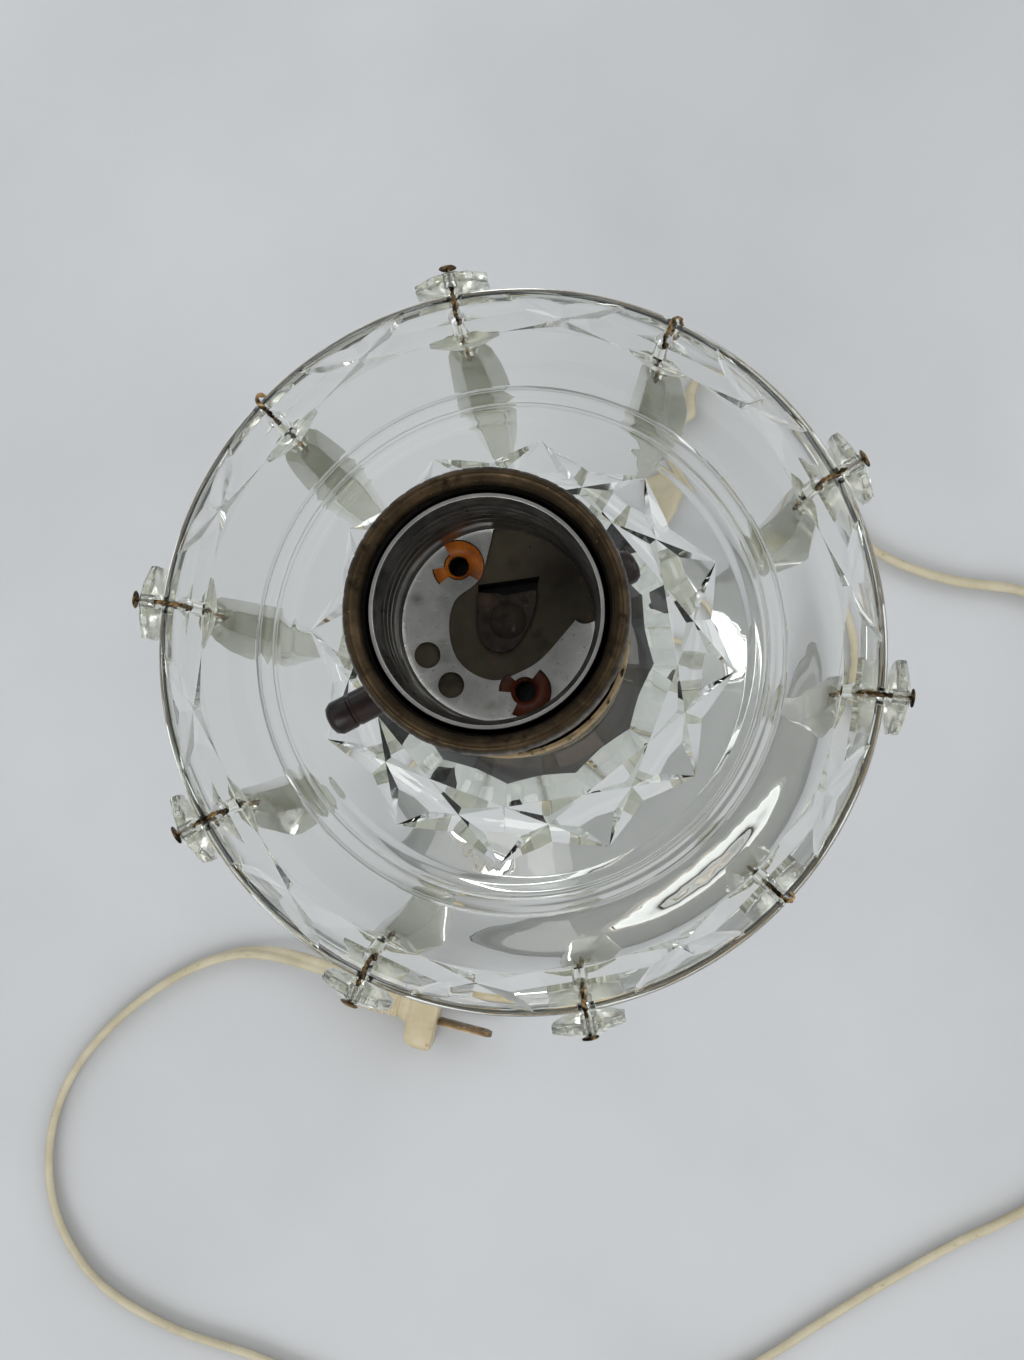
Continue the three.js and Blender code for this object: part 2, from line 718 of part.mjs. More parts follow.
function capGeometry() {
  const flareTop = CAP_H * 0.68;
  const outer = smooth([
    [CAP_NECK_R, CAP_NECK_H],
    [CAP_R * 0.6, CAP_NECK_H + (flareTop - CAP_NECK_H) * 0.24],
    [CAP_R * 0.9, CAP_NECK_H + (flareTop - CAP_NECK_H) * 0.62],
    [CAP_R, flareTop],
  ], 4);
  const inner = outer.map(([radius, height]) => [Math.max(radius - CAP_WALL, pipeClearR), height + CAP_WALL]);
  const profile = [
    [pipeClearR, 0],
    [CAP_NECK_R, 0],
    ...outer,
    [CAP_R, CAP_H],
    [CAP_R - CAP_WALL, CAP_H],
    ...inner.reverse(),
    [pipeClearR, CAP_NECK_H + CAP_WALL],
    [pipeClearR, 0],
  ];
  const inside = onCircle(pipeClearR - 1, SET_SCREW_ANGLE, setScrewZ);
  const outside = onCircle(CAP_NECK_R + 1, SET_SCREW_ANGLE, setScrewZ);
  const screwHole = rod(SET_SCREW_R + SLIP, inside, outside, 12);
  return cutFrom(revolve(profile, 36), [screwHole]);
}

function setScrewGeometry() {
  const start = onCircle(PIPE_R + SEAT, SET_SCREW_ANGLE, setScrewZ);
  const under = onCircle(CAP_NECK_R + SEAT, SET_SCREW_ANGLE, setScrewZ);
  const end = onCircle(CAP_NECK_R + SEAT + SET_SCREW_HEAD_T, SET_SCREW_ANGLE, setScrewZ);
  const overlap = onCircle(CAP_NECK_R + SEAT + SET_SCREW_HEAD_T / 2, SET_SCREW_ANGLE, setScrewZ);
  return joined([rod(SET_SCREW_R, start, overlap, 10), rod(SET_SCREW_HEAD_R, under, end, 14)]);
}

addPiece('socket_cap', capGeometry(), agedBrass).position.z = capZ;
addPiece('cap_set_screw', setScrewGeometry(), steel).position.z = capZ;

// Socket shell and insulating liner, both notched from below for the push rod

function rodNotch(radius, zBelow) {
  const reach = 2 * SHELL_BEAD_R;
  const tunnel = rod(radius, onCircle(reach, ROD_ANGLE + 180), onCircle(reach, ROD_ANGLE), 20);
  const slot = new THREE.BoxGeometry(2 * reach, 2 * radius, zBelow);
  slot.translate(0, 0, -zBelow / 2).rotateZ(radians(ROD_ANGLE));
  return [tunnel, slot];
}

function shellGeometry() {
  const beadZ = SHELL_H - SHELL_BEAD_H;
  const innerR = shellR - SHELL_WALL;
  const beadInnerR = SHELL_BEAD_R - SHELL_WALL;
  const profile = [
    [shellR, 0],
    [shellR, beadZ - 1],
    [SHELL_BEAD_R - 0.3, beadZ],
    [SHELL_BEAD_R, beadZ + 1],
    [SHELL_BEAD_R, SHELL_H - 1.6],
    [SHELL_BEAD_R - 0.35, SHELL_H - 0.6],
    [SHELL_BEAD_R - 1, SHELL_H],
    [SHELL_MOUTH_R + 0.4, SHELL_H],
    [SHELL_MOUTH_R, SHELL_H - 0.5],
    [SHELL_MOUTH_R, SHELL_H - 1.1],
    [SHELL_MOUTH_R + 0.6, SHELL_H - 1.1],
    [beadInnerR - 0.5, SHELL_H - 0.9],
    [beadInnerR, SHELL_H - 2],
    [beadInnerR, beadZ + 1.2],
    [innerR, beadZ - 0.6],
    [innerR, 0],
    [shellR, 0],
  ];
  const notch = rodNotch(ROD_R + ROD_PLAY, 2 * ROD_ABOVE_SHELL_END);
  notch.forEach((tool) => tool.translate(0, 0, ROD_ABOVE_SHELL_END));
  return cutFrom(revolve(profile, 36), notch);
}

function linerGeometry() {
  const bottom = SEAT + 1;
  const top = SHELL_H - LINER_BELOW_MOUTH;
  const sleeve = ring(linerR, linerR - LINER_WALL, bottom, top - bottom, 36);
  const notch = rodNotch(ROD_R + ROD_PLAY, 2 * ROD_ABOVE_SHELL_END);
  notch.forEach((tool) => tool.translate(0, 0, ROD_ABOVE_SHELL_END));
  return cutFrom(sleeve, notch);
}

addPiece('socket_shell', shellGeometry(), agedBrass).position.z = shellZ;
addPiece('shell_liner', linerGeometry(), blackFibre).position.z = shellZ;

// Switch body with the push rod through it and a terminal screw on each flat

function switchBodyGeometry() {
  const block = revolve([
    [0, -BODY_BELOW_ROD],
    [BODY_R - 1, -BODY_BELOW_ROD],
    [BODY_R, 1 - BODY_BELOW_ROD],
    [BODY_R, BODY_ABOVE_ROD],
    [0, BODY_ABOVE_ROD],
  ], 32);
  const height = 2 * (BODY_BELOW_ROD + BODY_ABOVE_ROD);
  const flats = [1, -1].map((side) => {
    const slab = new THREE.BoxGeometry(4 * BODY_R, BODY_R, height);
    slab.translate(0, side * (BODY_FLAT_FROM_AXIS + BODY_R / 2), -height / 2 + BODY_ABOVE_ROD - 4);
    return slab.rotateZ(radians(ROD_ANGLE));
  });
  const passageEnds = [ROD_ANGLE + 180, ROD_ANGLE].map((angle) => onCircle(2 * BODY_R, angle));
  const passage = rod(ROD_R + ROD_PLAY, ...passageEnds, 16);
  return cutFrom(block, [...flats, passage]);
}

addPiece('switch_body', switchBodyGeometry(), bakelite).position.z = rodZ;

function terminalScrewGeometry(side) {
  const angle = ROD_ANGLE + 90 * side;
  const under = onCircle(BODY_FLAT_FROM_AXIS + SEAT, angle);
  const top = onCircle(BODY_FLAT_FROM_AXIS + SEAT + TERMINAL_T, angle);
  return rod(TERMINAL_R, under, top, 14);
}

addPiece('terminal_screw_live', terminalScrewGeometry(1), brightBrass).position.z = rodZ - TERMINAL_BELOW_ROD;
addPiece('terminal_screw_neutral', terminalScrewGeometry(-1), steel).position.z = rodZ - TERMINAL_BELOW_ROD;

function pushRodGeometry() {
  const end = ROD_L / 2;
  const profile = [
    [0, -end],
    [ROD_R - 0.8, -end],
    [ROD_R - 0.2, 0.3 - end],
    [ROD_R, 1 - end],
    [ROD_R, end - 1],
    [ROD_R - 0.2, end - 0.3],
    [ROD_R - 0.8, end],
    [0, end],
  ];
  const centre = onCircle(ROD_OFF_CENTRE, ROD_ANGLE);
  const barrel = revolve(profile, 20).rotateY(Math.PI / 2).rotateZ(radians(ROD_ANGLE));
  return barrel.translate(centre.x, centre.y, 0);
}

addPiece('push_rod', pushRodGeometry(), bakelite).position.z = rodZ;

// Fibre disc, screw shell with its cut-out floor, centre contact and amber bushings

addPiece('fibre_disc', ring(BODY_R, BUSHING_BORE_R, fibreZ, FIBRE_T, 32), fibre);

// The floor's cut-out on the contact's side: a wavy inner edge with a round notch near its end
function floorCutOut() {
  const wave = new THREE.SplineCurve([
    new THREE.Vector2(-0.7, 12.4),
    new THREE.Vector2(-1.1, 10.4),
    new THREE.Vector2(-2.6, 5.8),
    new THREE.Vector2(-5.6, 3.2),
    new THREE.Vector2(-6.4, 0),
    new THREE.Vector2(-5.6, -3.9),
    new THREE.Vector2(-3.6, -6.1),
    new THREE.Vector2(-0.4, -7.2),
    new THREE.Vector2(2.9, -6.1),
    new THREE.Vector2(5.4, -4.6),
    new THREE.Vector2(9.7, 0.2),
  ]).getPoints(22);
  const notch = new THREE.EllipseCurve(11.2, 1.8, 1.7, 1.7, radians(225), radians(290), false).getPoints(3);
  const edgeR = SCREW_SHELL_FLOOR_R - 0.1;
  const edge = new THREE.EllipseCurve(0, 0, edgeR, edgeR, radians(2), radians(93), false).getPoints(9);
  return new THREE.Shape([...wave, ...notch, ...edge]);
}

function screwShellGeometry() {
  const floorR = SCREW_SHELL_FLOOR_R;
  const wall = SCREW_SHELL_WALL;
  const threadZ = 3.4;
  const inner = [];
  const perTurn = 2;
  for (let i = 0; i <= SCREW_TURNS * perTurn; i += 1) {
    const ripple = (1 - Math.cos((i / perTurn) * 2 * Math.PI)) / 2;
    inner.push([floorR + 0.25 + SCREW_DEPTH * ripple, threadZ + (i / perTurn) * SCREW_PITCH]);
  }
  const outer = inner.map(([radius, height]) => [radius + wall, height]).reverse();
  const profile = [
    [0, 0],
    [0, wall],
    [floorR, wall],
    ...inner,
    [SCREW_SHELL_MOUTH_R - wall, SCREW_SHELL_H - 1.2],
    [SCREW_SHELL_MOUTH_R - wall, SCREW_SHELL_H],
    [SCREW_SHELL_MOUTH_R, SCREW_SHELL_H],
    [SCREW_SHELL_MOUTH_R, SCREW_SHELL_H - 1.5],
    ...outer,
    [floorR + wall, 0.4],
    [floorR + wall - 0.4, 0],
    [0, 0],
  ];
  const through = { depth: 3 * wall, bevelEnabled: false };
  const cutOut = new THREE.ExtrudeGeometry(floorCutOut(), through).translate(0, 0, -wall);
  const holes = BUSHING_ANGLES.map((angle) => {
    const centre = onCircle(BUSHING_FROM_AXIS, angle);
    return rod(BUSHING_R + SLIP, centre.clone().setZ(-1), centre.clone().setZ(2), 16);
  });
  FLOOR_HOLES.forEach(([x, y]) => {
    holes.push(rod(FLOOR_HOLE_R, new THREE.Vector3(x, y, -1), new THREE.Vector3(x, y, 2), 12));
  });
  return cutFrom(revolve(profile, 28), [cutOut, ...holes]);
}

addPiece('screw_shell', screwShellGeometry(), aluminium).position.z = floorZ;

function contactGeometry() {
  const shield = new THREE.Shape();
  shield.moveTo(-1.9, 5.7);
  shield.lineTo(4.6, 5.7);
  shield.quadraticCurveTo(5.6, 5.2, 5.3, 4);
  shield.quadraticCurveTo(4.9, -0.6, 1.6, -3.2);
  shield.quadraticCurveTo(-1, -3.4, -2, -1.4);
  shield.lineTo(-2.7, 4.8);
  const tongue = new THREE.ExtrudeGeometry(shield, {
    depth: CONTACT_T,
    bevelEnabled: false,
    curveSegments: 3,
  });
  const button = new THREE.CylinderGeometry(2.1, 2.5, 1.2, 16).rotateX(Math.PI / 2);
  button.translate(1.2, 0.6, CONTACT_T + 0.3);
  return joined([tongue, button]);
}

addPiece('centre_contact', contactGeometry(), contactMetal).position.z = floorZ;

BUSHING_ANGLES.forEach((angle, i) => {
  const bushing = ring(BUSHING_R, BUSHING_BORE_R, 0, BUSHING_H, 16);
  addPiece(`amber_bushing_${i + 1}`, bushing, amber).position.copy(onCircle(BUSHING_FROM_AXIS, angle, floorZ));
});

// Cord

// An oval section with a flat on the table; a path that stays level keeps its X upright
function leadSection(sides) {
  const section = new THREE.Shape();
  const evenFlats = sides % 4 === 0;
  const flatReach = Math.cos(Math.PI / sides);
  const sideReach = evenFlats ? flatReach : 1;
  for (let i = 0; i < sides; i += 1) {
    const angle = ((i + (evenFlats ? 0.5 : 0)) / sides) * 2 * Math.PI;
    const up = ((CORD_H / 2) * Math.sin(angle)) / flatReach;
    const across = ((CORD_W / 2) * Math.cos(angle)) / sideReach;
    const move = i === 0 ? 'moveTo' : 'lineTo';
    section[move](up, across);
  }
  return section;
}

function cordTube(curve, steps, sides = 8) {
  return new THREE.ExtrudeGeometry(leadSection(sides), { steps, extrudePath: curve, bevelEnabled: false });
}

const lying = CORD_H / 2 + 0.05;

function cordPath(points) {
  const corners = points.map(([x, y, z = lying]) => new THREE.Vector3(x, y, z));
  return new THREE.CatmullRomCurve3(corners, false, 'centripetal');
}

// The lead inside the lamp: down the pipe and out along the slot in the foot, with its two
// conductors parted above the pipe, one to each terminal screw
const slotEnd = FOOT_R - CORD_IN_SLOT;
const leadTopZ = pipeTopZ + 1.5;
const innerLeadPath = cordPath([
  [0, 0, leadTopZ],
  [0, 0, plateZ],
  [0, 0, columnZ + COLUMN_H * 0.6],
  [0, 0, columnZ + COLUMN_H * 0.2],
  [0, 0, HOLLOW_H],
  [0, 0.2, PIPE_END_Z + 0.5],
  [0, 2, PIPE_END_Z - 4],
  [0, 6, lying + 2.4],
  [0, 11, lying + 0.5],
  [0, 17, lying + 0.1],
  [0, FOOT_R / 2],
  [0, slotEnd],
]);

function sweep(points, radius, steps, sides) {
  const section = new THREE.Shape();
  for (let i = 0; i < sides; i += 1) {
    const angle = (i / sides) * 2 * Math.PI;
    const move = i === 0 ? 'moveTo' : 'lineTo';
    section[move](radius * Math.cos(angle), radius * Math.sin(angle));
  }
  const extrudePath = new THREE.CatmullRomCurve3(points, false, 'centripetal');
  return new THREE.ExtrudeGeometry(section, { steps, extrudePath, bevelEnabled: false });
}

function conductorGeometry(side) {
  const screwBottomZ = rodZ - TERMINAL_BELOW_ROD - TERMINAL_R;
  const screwFromAxis = BODY_FLAT_FROM_AXIS + SEAT + TERMINAL_T / 2;
  const points = [
    new THREE.Vector3(0, side * 1.1, leadTopZ - 1.2),
    new THREE.Vector3(0, side * 1.6, leadTopZ + 0.6),
    new THREE.Vector3(0, side * 5, leadTopZ + 2.2),
    new THREE.Vector3(0, side * 10.6, leadTopZ + 3.8),
    new THREE.Vector3(0, side * (screwFromAxis - 0.1), screwBottomZ - 3),
    new THREE.Vector3(0, side * screwFromAxis, screwBottomZ - SLIP),
  ];
  return sweep(points, CONDUCTOR_R, 10, 6).rotateZ(radians(ROD_ANGLE));
}

function innerLeadGeometry() {
  const lead = cordTube(innerLeadPath, 40).rotateZ(radians(CORD_SLOT_ANGLE - 90));
  return joined([lead, conductorGeometry(1), conductorGeometry(-1)]);
}

addPiece('inner_lead', innerLeadGeometry(), creamCord);

// The coil is one spiral in two layers: in on the table, up through the half turn where it
// reverses, and out again on top. It starts on the coil's far side and ends on the near one.
const coilHalf = (COIL_TURNS - 0.5) / 2;
const coilEndLength = CORD_W;

class CoilCurve extends THREE.Curve {
  constructor() {
    super();
    this.start = this.onSpiral(0);
    this.end = this.onSpiral(COIL_TURNS);
    this.startDirection = this.onSpiral(0.001).sub(this.start).normalize();
    this.endDirection = this.onSpiral(COIL_TURNS - 0.001).sub(this.end).negate().normalize();
  }

  onSpiral(turn) {
    const reversing = THREE.MathUtils.clamp((turn - coilHalf) / 0.5, 0, 1);
    const inward = Math.min(turn, coilHalf) - Math.max(turn - coilHalf - 0.5, 0);
    const innerBend = (COIL_INNER_BEND * (1 - Math.cos(2 * Math.PI * reversing))) / 2;
    const radius = COIL_OUTER_R - COIL_PITCH * (inward + innerBend);
    const angle = Math.PI / 2 - 2 * Math.PI * turn;
    const z = lying + COIL_LAYER * THREE.MathUtils.smoothstep(reversing, 0.15, 0.85);
    const [centreX, centreY] = COIL_CENTRE;
    return new THREE.Vector3(centreX + radius * Math.cos(angle), centreY + radius * Math.sin(angle), z);
  }

  getPoint(share, target = new THREE.Vector3()) {
    const endTurns = coilEndLength / (2 * Math.PI * COIL_OUTER_R);
    const turn = share * (COIL_TURNS + 2 * endTurns) - endTurns;
    if (turn < 0) {
      const ahead = (turn / endTurns) * coilEndLength;
      return target.copy(this.startDirection).multiplyScalar(ahead).add(this.start);
    }
    if (turn > COIL_TURNS) {
      const beyond = ((turn - COIL_TURNS) / endTurns) * coilEndLength;
      return target.copy(this.endDirection).multiplyScalar(beyond).add(this.end);
    }
    return target.copy(this.onSpiral(turn));
  }
}

function leastCoilGap(curve) {
  const points = [];
  for (let turn = 0; turn <= COIL_TURNS; turn += 1 / (2 * COIL_STEPS_A_TURN)) {
    points.push(curve.onSpiral(turn));
  }
  let least = Infinity;
  points.forEach((a, i) => {
    points.slice(i + COIL_STEPS_A_TURN).forEach((b) => {
      const aside = Math.hypot(a.x - b.x, a.y - b.y) - CORD_W;
      const above = Math.abs(a.z - b.z) - CORD_H;
      least = Math.min(least, Math.max(aside, above));
    });
  });
  return least;
}

const coil = new CoilCurve();
const coilSteps = COIL_TURNS * COIL_STEPS_A_TURN + 4;
addPiece('cord_coil', cordTube(coil, coilSteps, 6), creamCord);
console.log('least gap between the coil\'s turns', leastCoilGap(coil).toFixed(2), 'mm');

const beforeCoil = (distance) => coil.getPoint(0).addScaledVector(coil.startDirection, -distance).toArray();
const afterCoil = (distance) => coil.getPoint(1).addScaledVector(coil.endDirection, distance).toArray();
const outOfSlot = (radius) => onCircle(radius, CORD_SLOT_ANGLE, lying).toArray();

const lampSidePath = cordPath([
  outOfSlot(slotEnd + CORD_GAP),
  outOfSlot(FOOT_R + 2.5),
  [30.4, 67.8],
  [30.7, 80],
  [37, 90.5],
  [49, 93],
  [60, 86],
  [67.5, 74],
  [75.5, 58.5],
  [90.8, 43.5],
  [111.3, 35.5],
  [132.3, 32],
  [146, 24],
  [151.5, 9],
  [153, -7],
  [160, -17.5],
  beforeCoil(5),
  beforeCoil(CORD_GAP),
]);
addPiece('cord_lamp_side', cordTube(lampSidePath, 46), creamCord);

const plugAxis = onCircle(1, PLUG_ANGLE);
const alongPlug = (back, z) => [PLUG_FACE[0] - plugAxis.x * back, PLUG_FACE[1] - plugAxis.y * back, z];
const plugMiddleZ = PLUG_FACE_H / 2 + 0.1;

const plugSidePath = cordPath([
  afterCoil(CORD_GAP),
  afterCoil(6),
  [158, -96.5, lying + 1.9],
  [151.5, -102, lying + 0.8],
  [146.5, -110, lying + 0.15],
  [143.5, -125],
  [137, -138.5],
  [123, -147.5],
  [112.1, -152.6],
  [89.5, -165.7],
  [72.5, -176.4],
  [55.5, -187.4],
  [33, -199],
  [3, -208],
  [-30, -209],
  [-62, -199.5],
  [-90.1, -189.2],
  [-115.2, -181.4],
  [-137.1, -168.3],
  [-149, -150],
  [-151.5, -130],
  [-145.8, -110.7],
  [-132, -93.5],
  [-112.8, -79.5],
  [-97, -73.6, lying + 0.3],
  [-86, -73.2, lying + 1.6],
  alongPlug(PLUG_L + 9, plugMiddleZ - 2.2),
  alongPlug(PLUG_L + 4, plugMiddleZ - 0.3),
  alongPlug(PLUG_L + CORD_GAP, plugMiddleZ),
]);
addPiece('cord_plug_side', cordTube(plugSidePath, 72), creamCord);

const cordLength = lampSidePath.getLength() + coil.getLength() + plugSidePath.getLength();
console.log('cord from the foot to the plug', cordLength.toFixed(0), 'mm');

// Plug, lying on its flat side

function rounded(shape, height, z) {
  const depth = height - 2 * PLUG_ROUNDING;
  const settings = {
    depth,
    bevelThickness: PLUG_ROUNDING,
    bevelSize: PLUG_ROUNDING,
    bevelOffset: -PLUG_ROUNDING,
    bevelSegments: 2,
    curveSegments: 4,
  };
  return new THREE.ExtrudeGeometry(shape, settings).translate(0, 0, z - depth / 2);
}

function plugBodyGeometry() {
  const face = new THREE.Shape();
  const half = PLUG_FACE_W / 2;
  face.moveTo(0, -half);
  face.lineTo(0, half);
  face.lineTo(-PLUG_FACE_DEPTH * 0.55, half);
  face.quadraticCurveTo(-PLUG_FACE_DEPTH, half, -PLUG_FACE_DEPTH, half - 3);
  face.lineTo(-PLUG_FACE_DEPTH, 3 - half);
  face.quadraticCurveTo(-PLUG_FACE_DEPTH, -half, -PLUG_FACE_DEPTH * 0.55, -half);
  const grip = new THREE.Shape();
  grip.moveTo(1 - PLUG_FACE_DEPTH, -PLUG_GRIP_W / 2);
  grip.lineTo(1 - PLUG_FACE_DEPTH, PLUG_GRIP_W / 2);
  grip.lineTo(7 - PLUG_L, PLUG_GRIP_W / 2);
  grip.quadraticCurveTo(4 - PLUG_L, PLUG_GRIP_W / 2, 3 - PLUG_L, PLUG_TAIL_W / 2);
  grip.lineTo(-PLUG_L, PLUG_TAIL_W / 2);
  grip.lineTo(-PLUG_L, -PLUG_TAIL_W / 2);
  grip.lineTo(3 - PLUG_L, -PLUG_TAIL_W / 2);
  grip.quadraticCurveTo(4 - PLUG_L, -PLUG_GRIP_W / 2, 7 - PLUG_L, -PLUG_GRIP_W / 2);
  return joined([rounded(face, PLUG_FACE_H, 0), rounded(grip, PLUG_GRIP_H, 0)]);
}

function bladeGeometry(side) {
  const outline = new THREE.Shape();
  const half = BLADE_W / 2;
  outline.moveTo(SEAT, -half);
  outline.lineTo(BLADE_L - 2, -half);
  outline.quadraticCurveTo(BLADE_L, 1 - half, BLADE_L, 0);
  outline.quadraticCurveTo(BLADE_L, half - 1, BLADE_L - 2, half);
  outline.lineTo(SEAT, half);
  const hole = new THREE.Path().absarc(BLADE_L - 4.2, 0, BLADE_HOLE_R, 0, 2 * Math.PI, true);
  outline.holes.push(hole);
  const blade = new THREE.ExtrudeGeometry(outline, { depth: BLADE_T, bevelEnabled: false, curveSegments: 5 });
  return blade.rotateX(Math.PI / 2).translate(0, side * (BLADE_APART / 2) + BLADE_T / 2, 0);
}

const plug = new THREE.Group();
plug.position.set(PLUG_FACE[0], PLUG_FACE[1], plugMiddleZ);
plug.rotation.z = radians(PLUG_ANGLE);
lamp.add(plug);
addPiece('plug_body', plugBodyGeometry(), creamPlug, plug);
addPiece('plug_blade_1', bladeGeometry(1), brightBrass, plug);
addPiece('plug_blade_2', bladeGeometry(-1), brightBrass, plug);

export default lamp;
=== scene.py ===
"""The looks of a boudoir table lamp with a star-cut glass dish, ten glass drops and a push-through socket."""

import logging
import math
import random
from dataclasses import dataclass
from enum import Enum
from typing import Callable, Iterable, Sequence

import bmesh
import bpy
from mathutils import Matrix, Vector


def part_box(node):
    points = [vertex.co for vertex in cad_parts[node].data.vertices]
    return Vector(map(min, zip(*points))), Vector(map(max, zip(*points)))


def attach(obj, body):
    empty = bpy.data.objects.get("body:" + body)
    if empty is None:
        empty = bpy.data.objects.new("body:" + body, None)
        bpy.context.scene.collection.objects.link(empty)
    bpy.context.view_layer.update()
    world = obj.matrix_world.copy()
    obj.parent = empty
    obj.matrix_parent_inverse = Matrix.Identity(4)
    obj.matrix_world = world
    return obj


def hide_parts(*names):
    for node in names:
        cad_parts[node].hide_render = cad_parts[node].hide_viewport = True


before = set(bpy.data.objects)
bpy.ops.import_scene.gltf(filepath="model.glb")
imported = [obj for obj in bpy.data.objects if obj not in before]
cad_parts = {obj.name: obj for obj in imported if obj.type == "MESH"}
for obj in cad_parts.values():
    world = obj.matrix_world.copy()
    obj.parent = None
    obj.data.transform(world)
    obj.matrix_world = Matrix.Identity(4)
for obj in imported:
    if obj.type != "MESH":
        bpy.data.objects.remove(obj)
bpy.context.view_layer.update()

MM = 0.001
LAMP = "lamp"
LOG = logging.getLogger("boudoir_lamp")

Outline = list[tuple[float, float]]
Triple = tuple[float, float, float]
Output = bpy.types.NodeSocket

EVEN = (1.0, 1.0, 1.0)
ALONG_X = Matrix.Rotation(math.pi / 2, 4, "Y")
PIPE_CLEAR = 5.2 * MM
DROPS = 10
FIRST_DROP = 28.6
RIM_HOLE_IN = 4.2 * MM


class Cut(Enum):
    """What stays of a piece after its tools are used."""

    AWAY = "DIFFERENCE"
    COMMON = "INTERSECT"


# Shape helpers


def linked(name: str, data: bpy.types.ID) -> bpy.types.Object:
    """Makes an object of some data and links it to the scene.

    Args:
        name: the object's name.
        data: its mesh, camera or light.

    Returns:
        The object.
    """
    obj = bpy.data.objects.new(name, data)
    bpy.context.scene.collection.objects.link(obj)
    return obj


def finished(name: str, work: bmesh.types.BMesh) -> bpy.types.Object:
    """Ends the work on a mesh and makes an object of it.

    Args:
        name: the object's name.
        work: the mesh that was worked on.

    Returns:
        The object, linked to the scene.
    """
    mesh = bpy.data.meshes.new(name)
    work.to_mesh(mesh)
    work.free()
    return linked(name, mesh)


def make_object(name: str, vertices: Sequence, faces: Sequence, sharp: float = 30.0) -> bpy.types.Object:
    """Makes a mesh object with outward faces and smooth shading up to an angle.

    Args:
        name: the piece's name.
        vertices: corner points in metres.
        faces: corner numbers of each face.
        sharp: edges that turn by more degrees than this stay sharp.

    Returns:
        The object, linked to the scene.
    """
    mesh = bpy.data.meshes.new(name)
    mesh.from_pydata([tuple(v) for v in vertices], [], [tuple(f) for f in faces])
    obj = linked(name, mesh)
    tidy_mesh(obj, sharp)
    return obj


def tidy_mesh(obj: bpy.types.Object, sharp: float = 30.0) -> None:
    """Welds doubled corners, turns the faces outward and sets which edges stay sharp.

    Args:
        obj: the mesh object.
        sharp: edges that turn by more degrees than this stay sharp.
    """
    work = bmesh.new()
    work.from_mesh(obj.data)
    bmesh.ops.remove_doubles(work, verts=work.verts, dist=1e-7)
    bmesh.ops.dissolve_degenerate(work, edges=work.edges, dist=1e-7)
    bmesh.ops.recalc_face_normals(work, faces=work.faces)
    work.to_mesh(obj.data)
    work.free()
    obj.data.shade_smooth()
    obj.data.set_sharp_from_angle(angle=math.radians(sharp))


def curved(points: Sequence[Sequence[float]], steps: int) -> list[Vector]:
    """Points along the centripetal curve that passes through the given ones.

    Args:
        points: control points of any dimension.
        steps: pieces that each span is divided into.

    Returns:
        The curve's points, the first and last control points included.
    """
    knots = [Vector(p) for p in points]
    knots = [2 * knots[0] - knots[1], *knots, 2 * knots[-1] - knots[-2]]
    made = []
    for before, start, end, after in zip(knots, knots[1:], knots[2:], knots[3:]):
        spans = ((before, start), (start, end), (end, after))
        gaps = [max((b - a).length, 1e-12) ** 0.5 for a, b in spans]
        leave = (start - before) / gaps[0] - (end - before) / (gaps[0] + gaps[1]) + (end - start) / gaps[1]
        arrive = (end - start) / gaps[1] - (after - start) / (gaps[1] + gaps[2]) + (after - end) / gaps[2]
        leave, arrive = leave * gaps[1], arrive * gaps[1]
        for step in range(steps):
            t = step / steps
            t2, t3 = t * t, t * t * t
            made.append(
                start * (2 * t3 - 3 * t2 + 1) + leave * (t3 - 2 * t2 + t)
                + end * (3 * t2 - 2 * t3) + arrive * (t3 - t2)
            )
    return [*made, knots[-2]]


def lathe(
    name: str,
    outline: Sequence,
    segments: int = 128,
    sharp: float = 30.0,
    swell: Callable[[float, float, float], float] = lambda radius, height, angle: 0.0,
) -> bpy.types.Object:
    """Turns a closed outline about the lamp's axis.

    Args:
        name: the piece's name.
        outline: (radius, height) corners in order; the last joins the first.
        segments: facets round the axis.
        sharp: edges that turn by more degrees than this stay sharp.
        swell: what is added to the radius at a radius, height and angle.

    Returns:
        The turned piece.
    """
    vertices, rings = [], []
    for radius, height in outline:
        if radius < 1e-7:
            rings.append([len(vertices)] * segments)
            vertices.append((0.0, 0.0, height))
            continue
        rings.append([len(vertices) + k for k in range(segments)])
        for k in range(segments):
            angle = 2 * math.pi * k / segments
            reach = radius + swell(radius, height, angle)
            vertices.append((reach * math.cos(angle), reach * math.sin(angle), height))
    faces = []
    for lower, upper in zip(rings, rings[1:] + rings[:1]):
        for k in range(segments):
            after = (k + 1) % segments
            corners = list(dict.fromkeys((lower[k], lower[after], upper[after], upper[k])))
            if len(corners) > 2:
                faces.append(corners)
    return make_object(name, vertices, faces, sharp)


def loft(name: str, sections: Sequence[Sequence[Vector]], sharp: float = 30.0) -> bpy.types.Object:
    """Joins rings of points in order and closes both ends.

    Args:
        name: the piece's name.
        sections: rings with the same number of points each.
        sharp: edges that turn by more degrees than this stay sharp.

    Returns:
        The lofted piece.
    """
    sides = len(sections[0])
    vertices = [corner for section in sections for corner in section]
    faces = [list(range(sides)), [len(vertices) - 1 - k for k in range(sides)]]
    for s in range(len(sections) - 1):
        for k in range(sides):
            after = (k + 1) % sides
            a, b = s * sides, (s + 1) * sides
            faces.append((a + k, a + after, b + after, b + k))
    return make_object(name, vertices, faces, sharp)


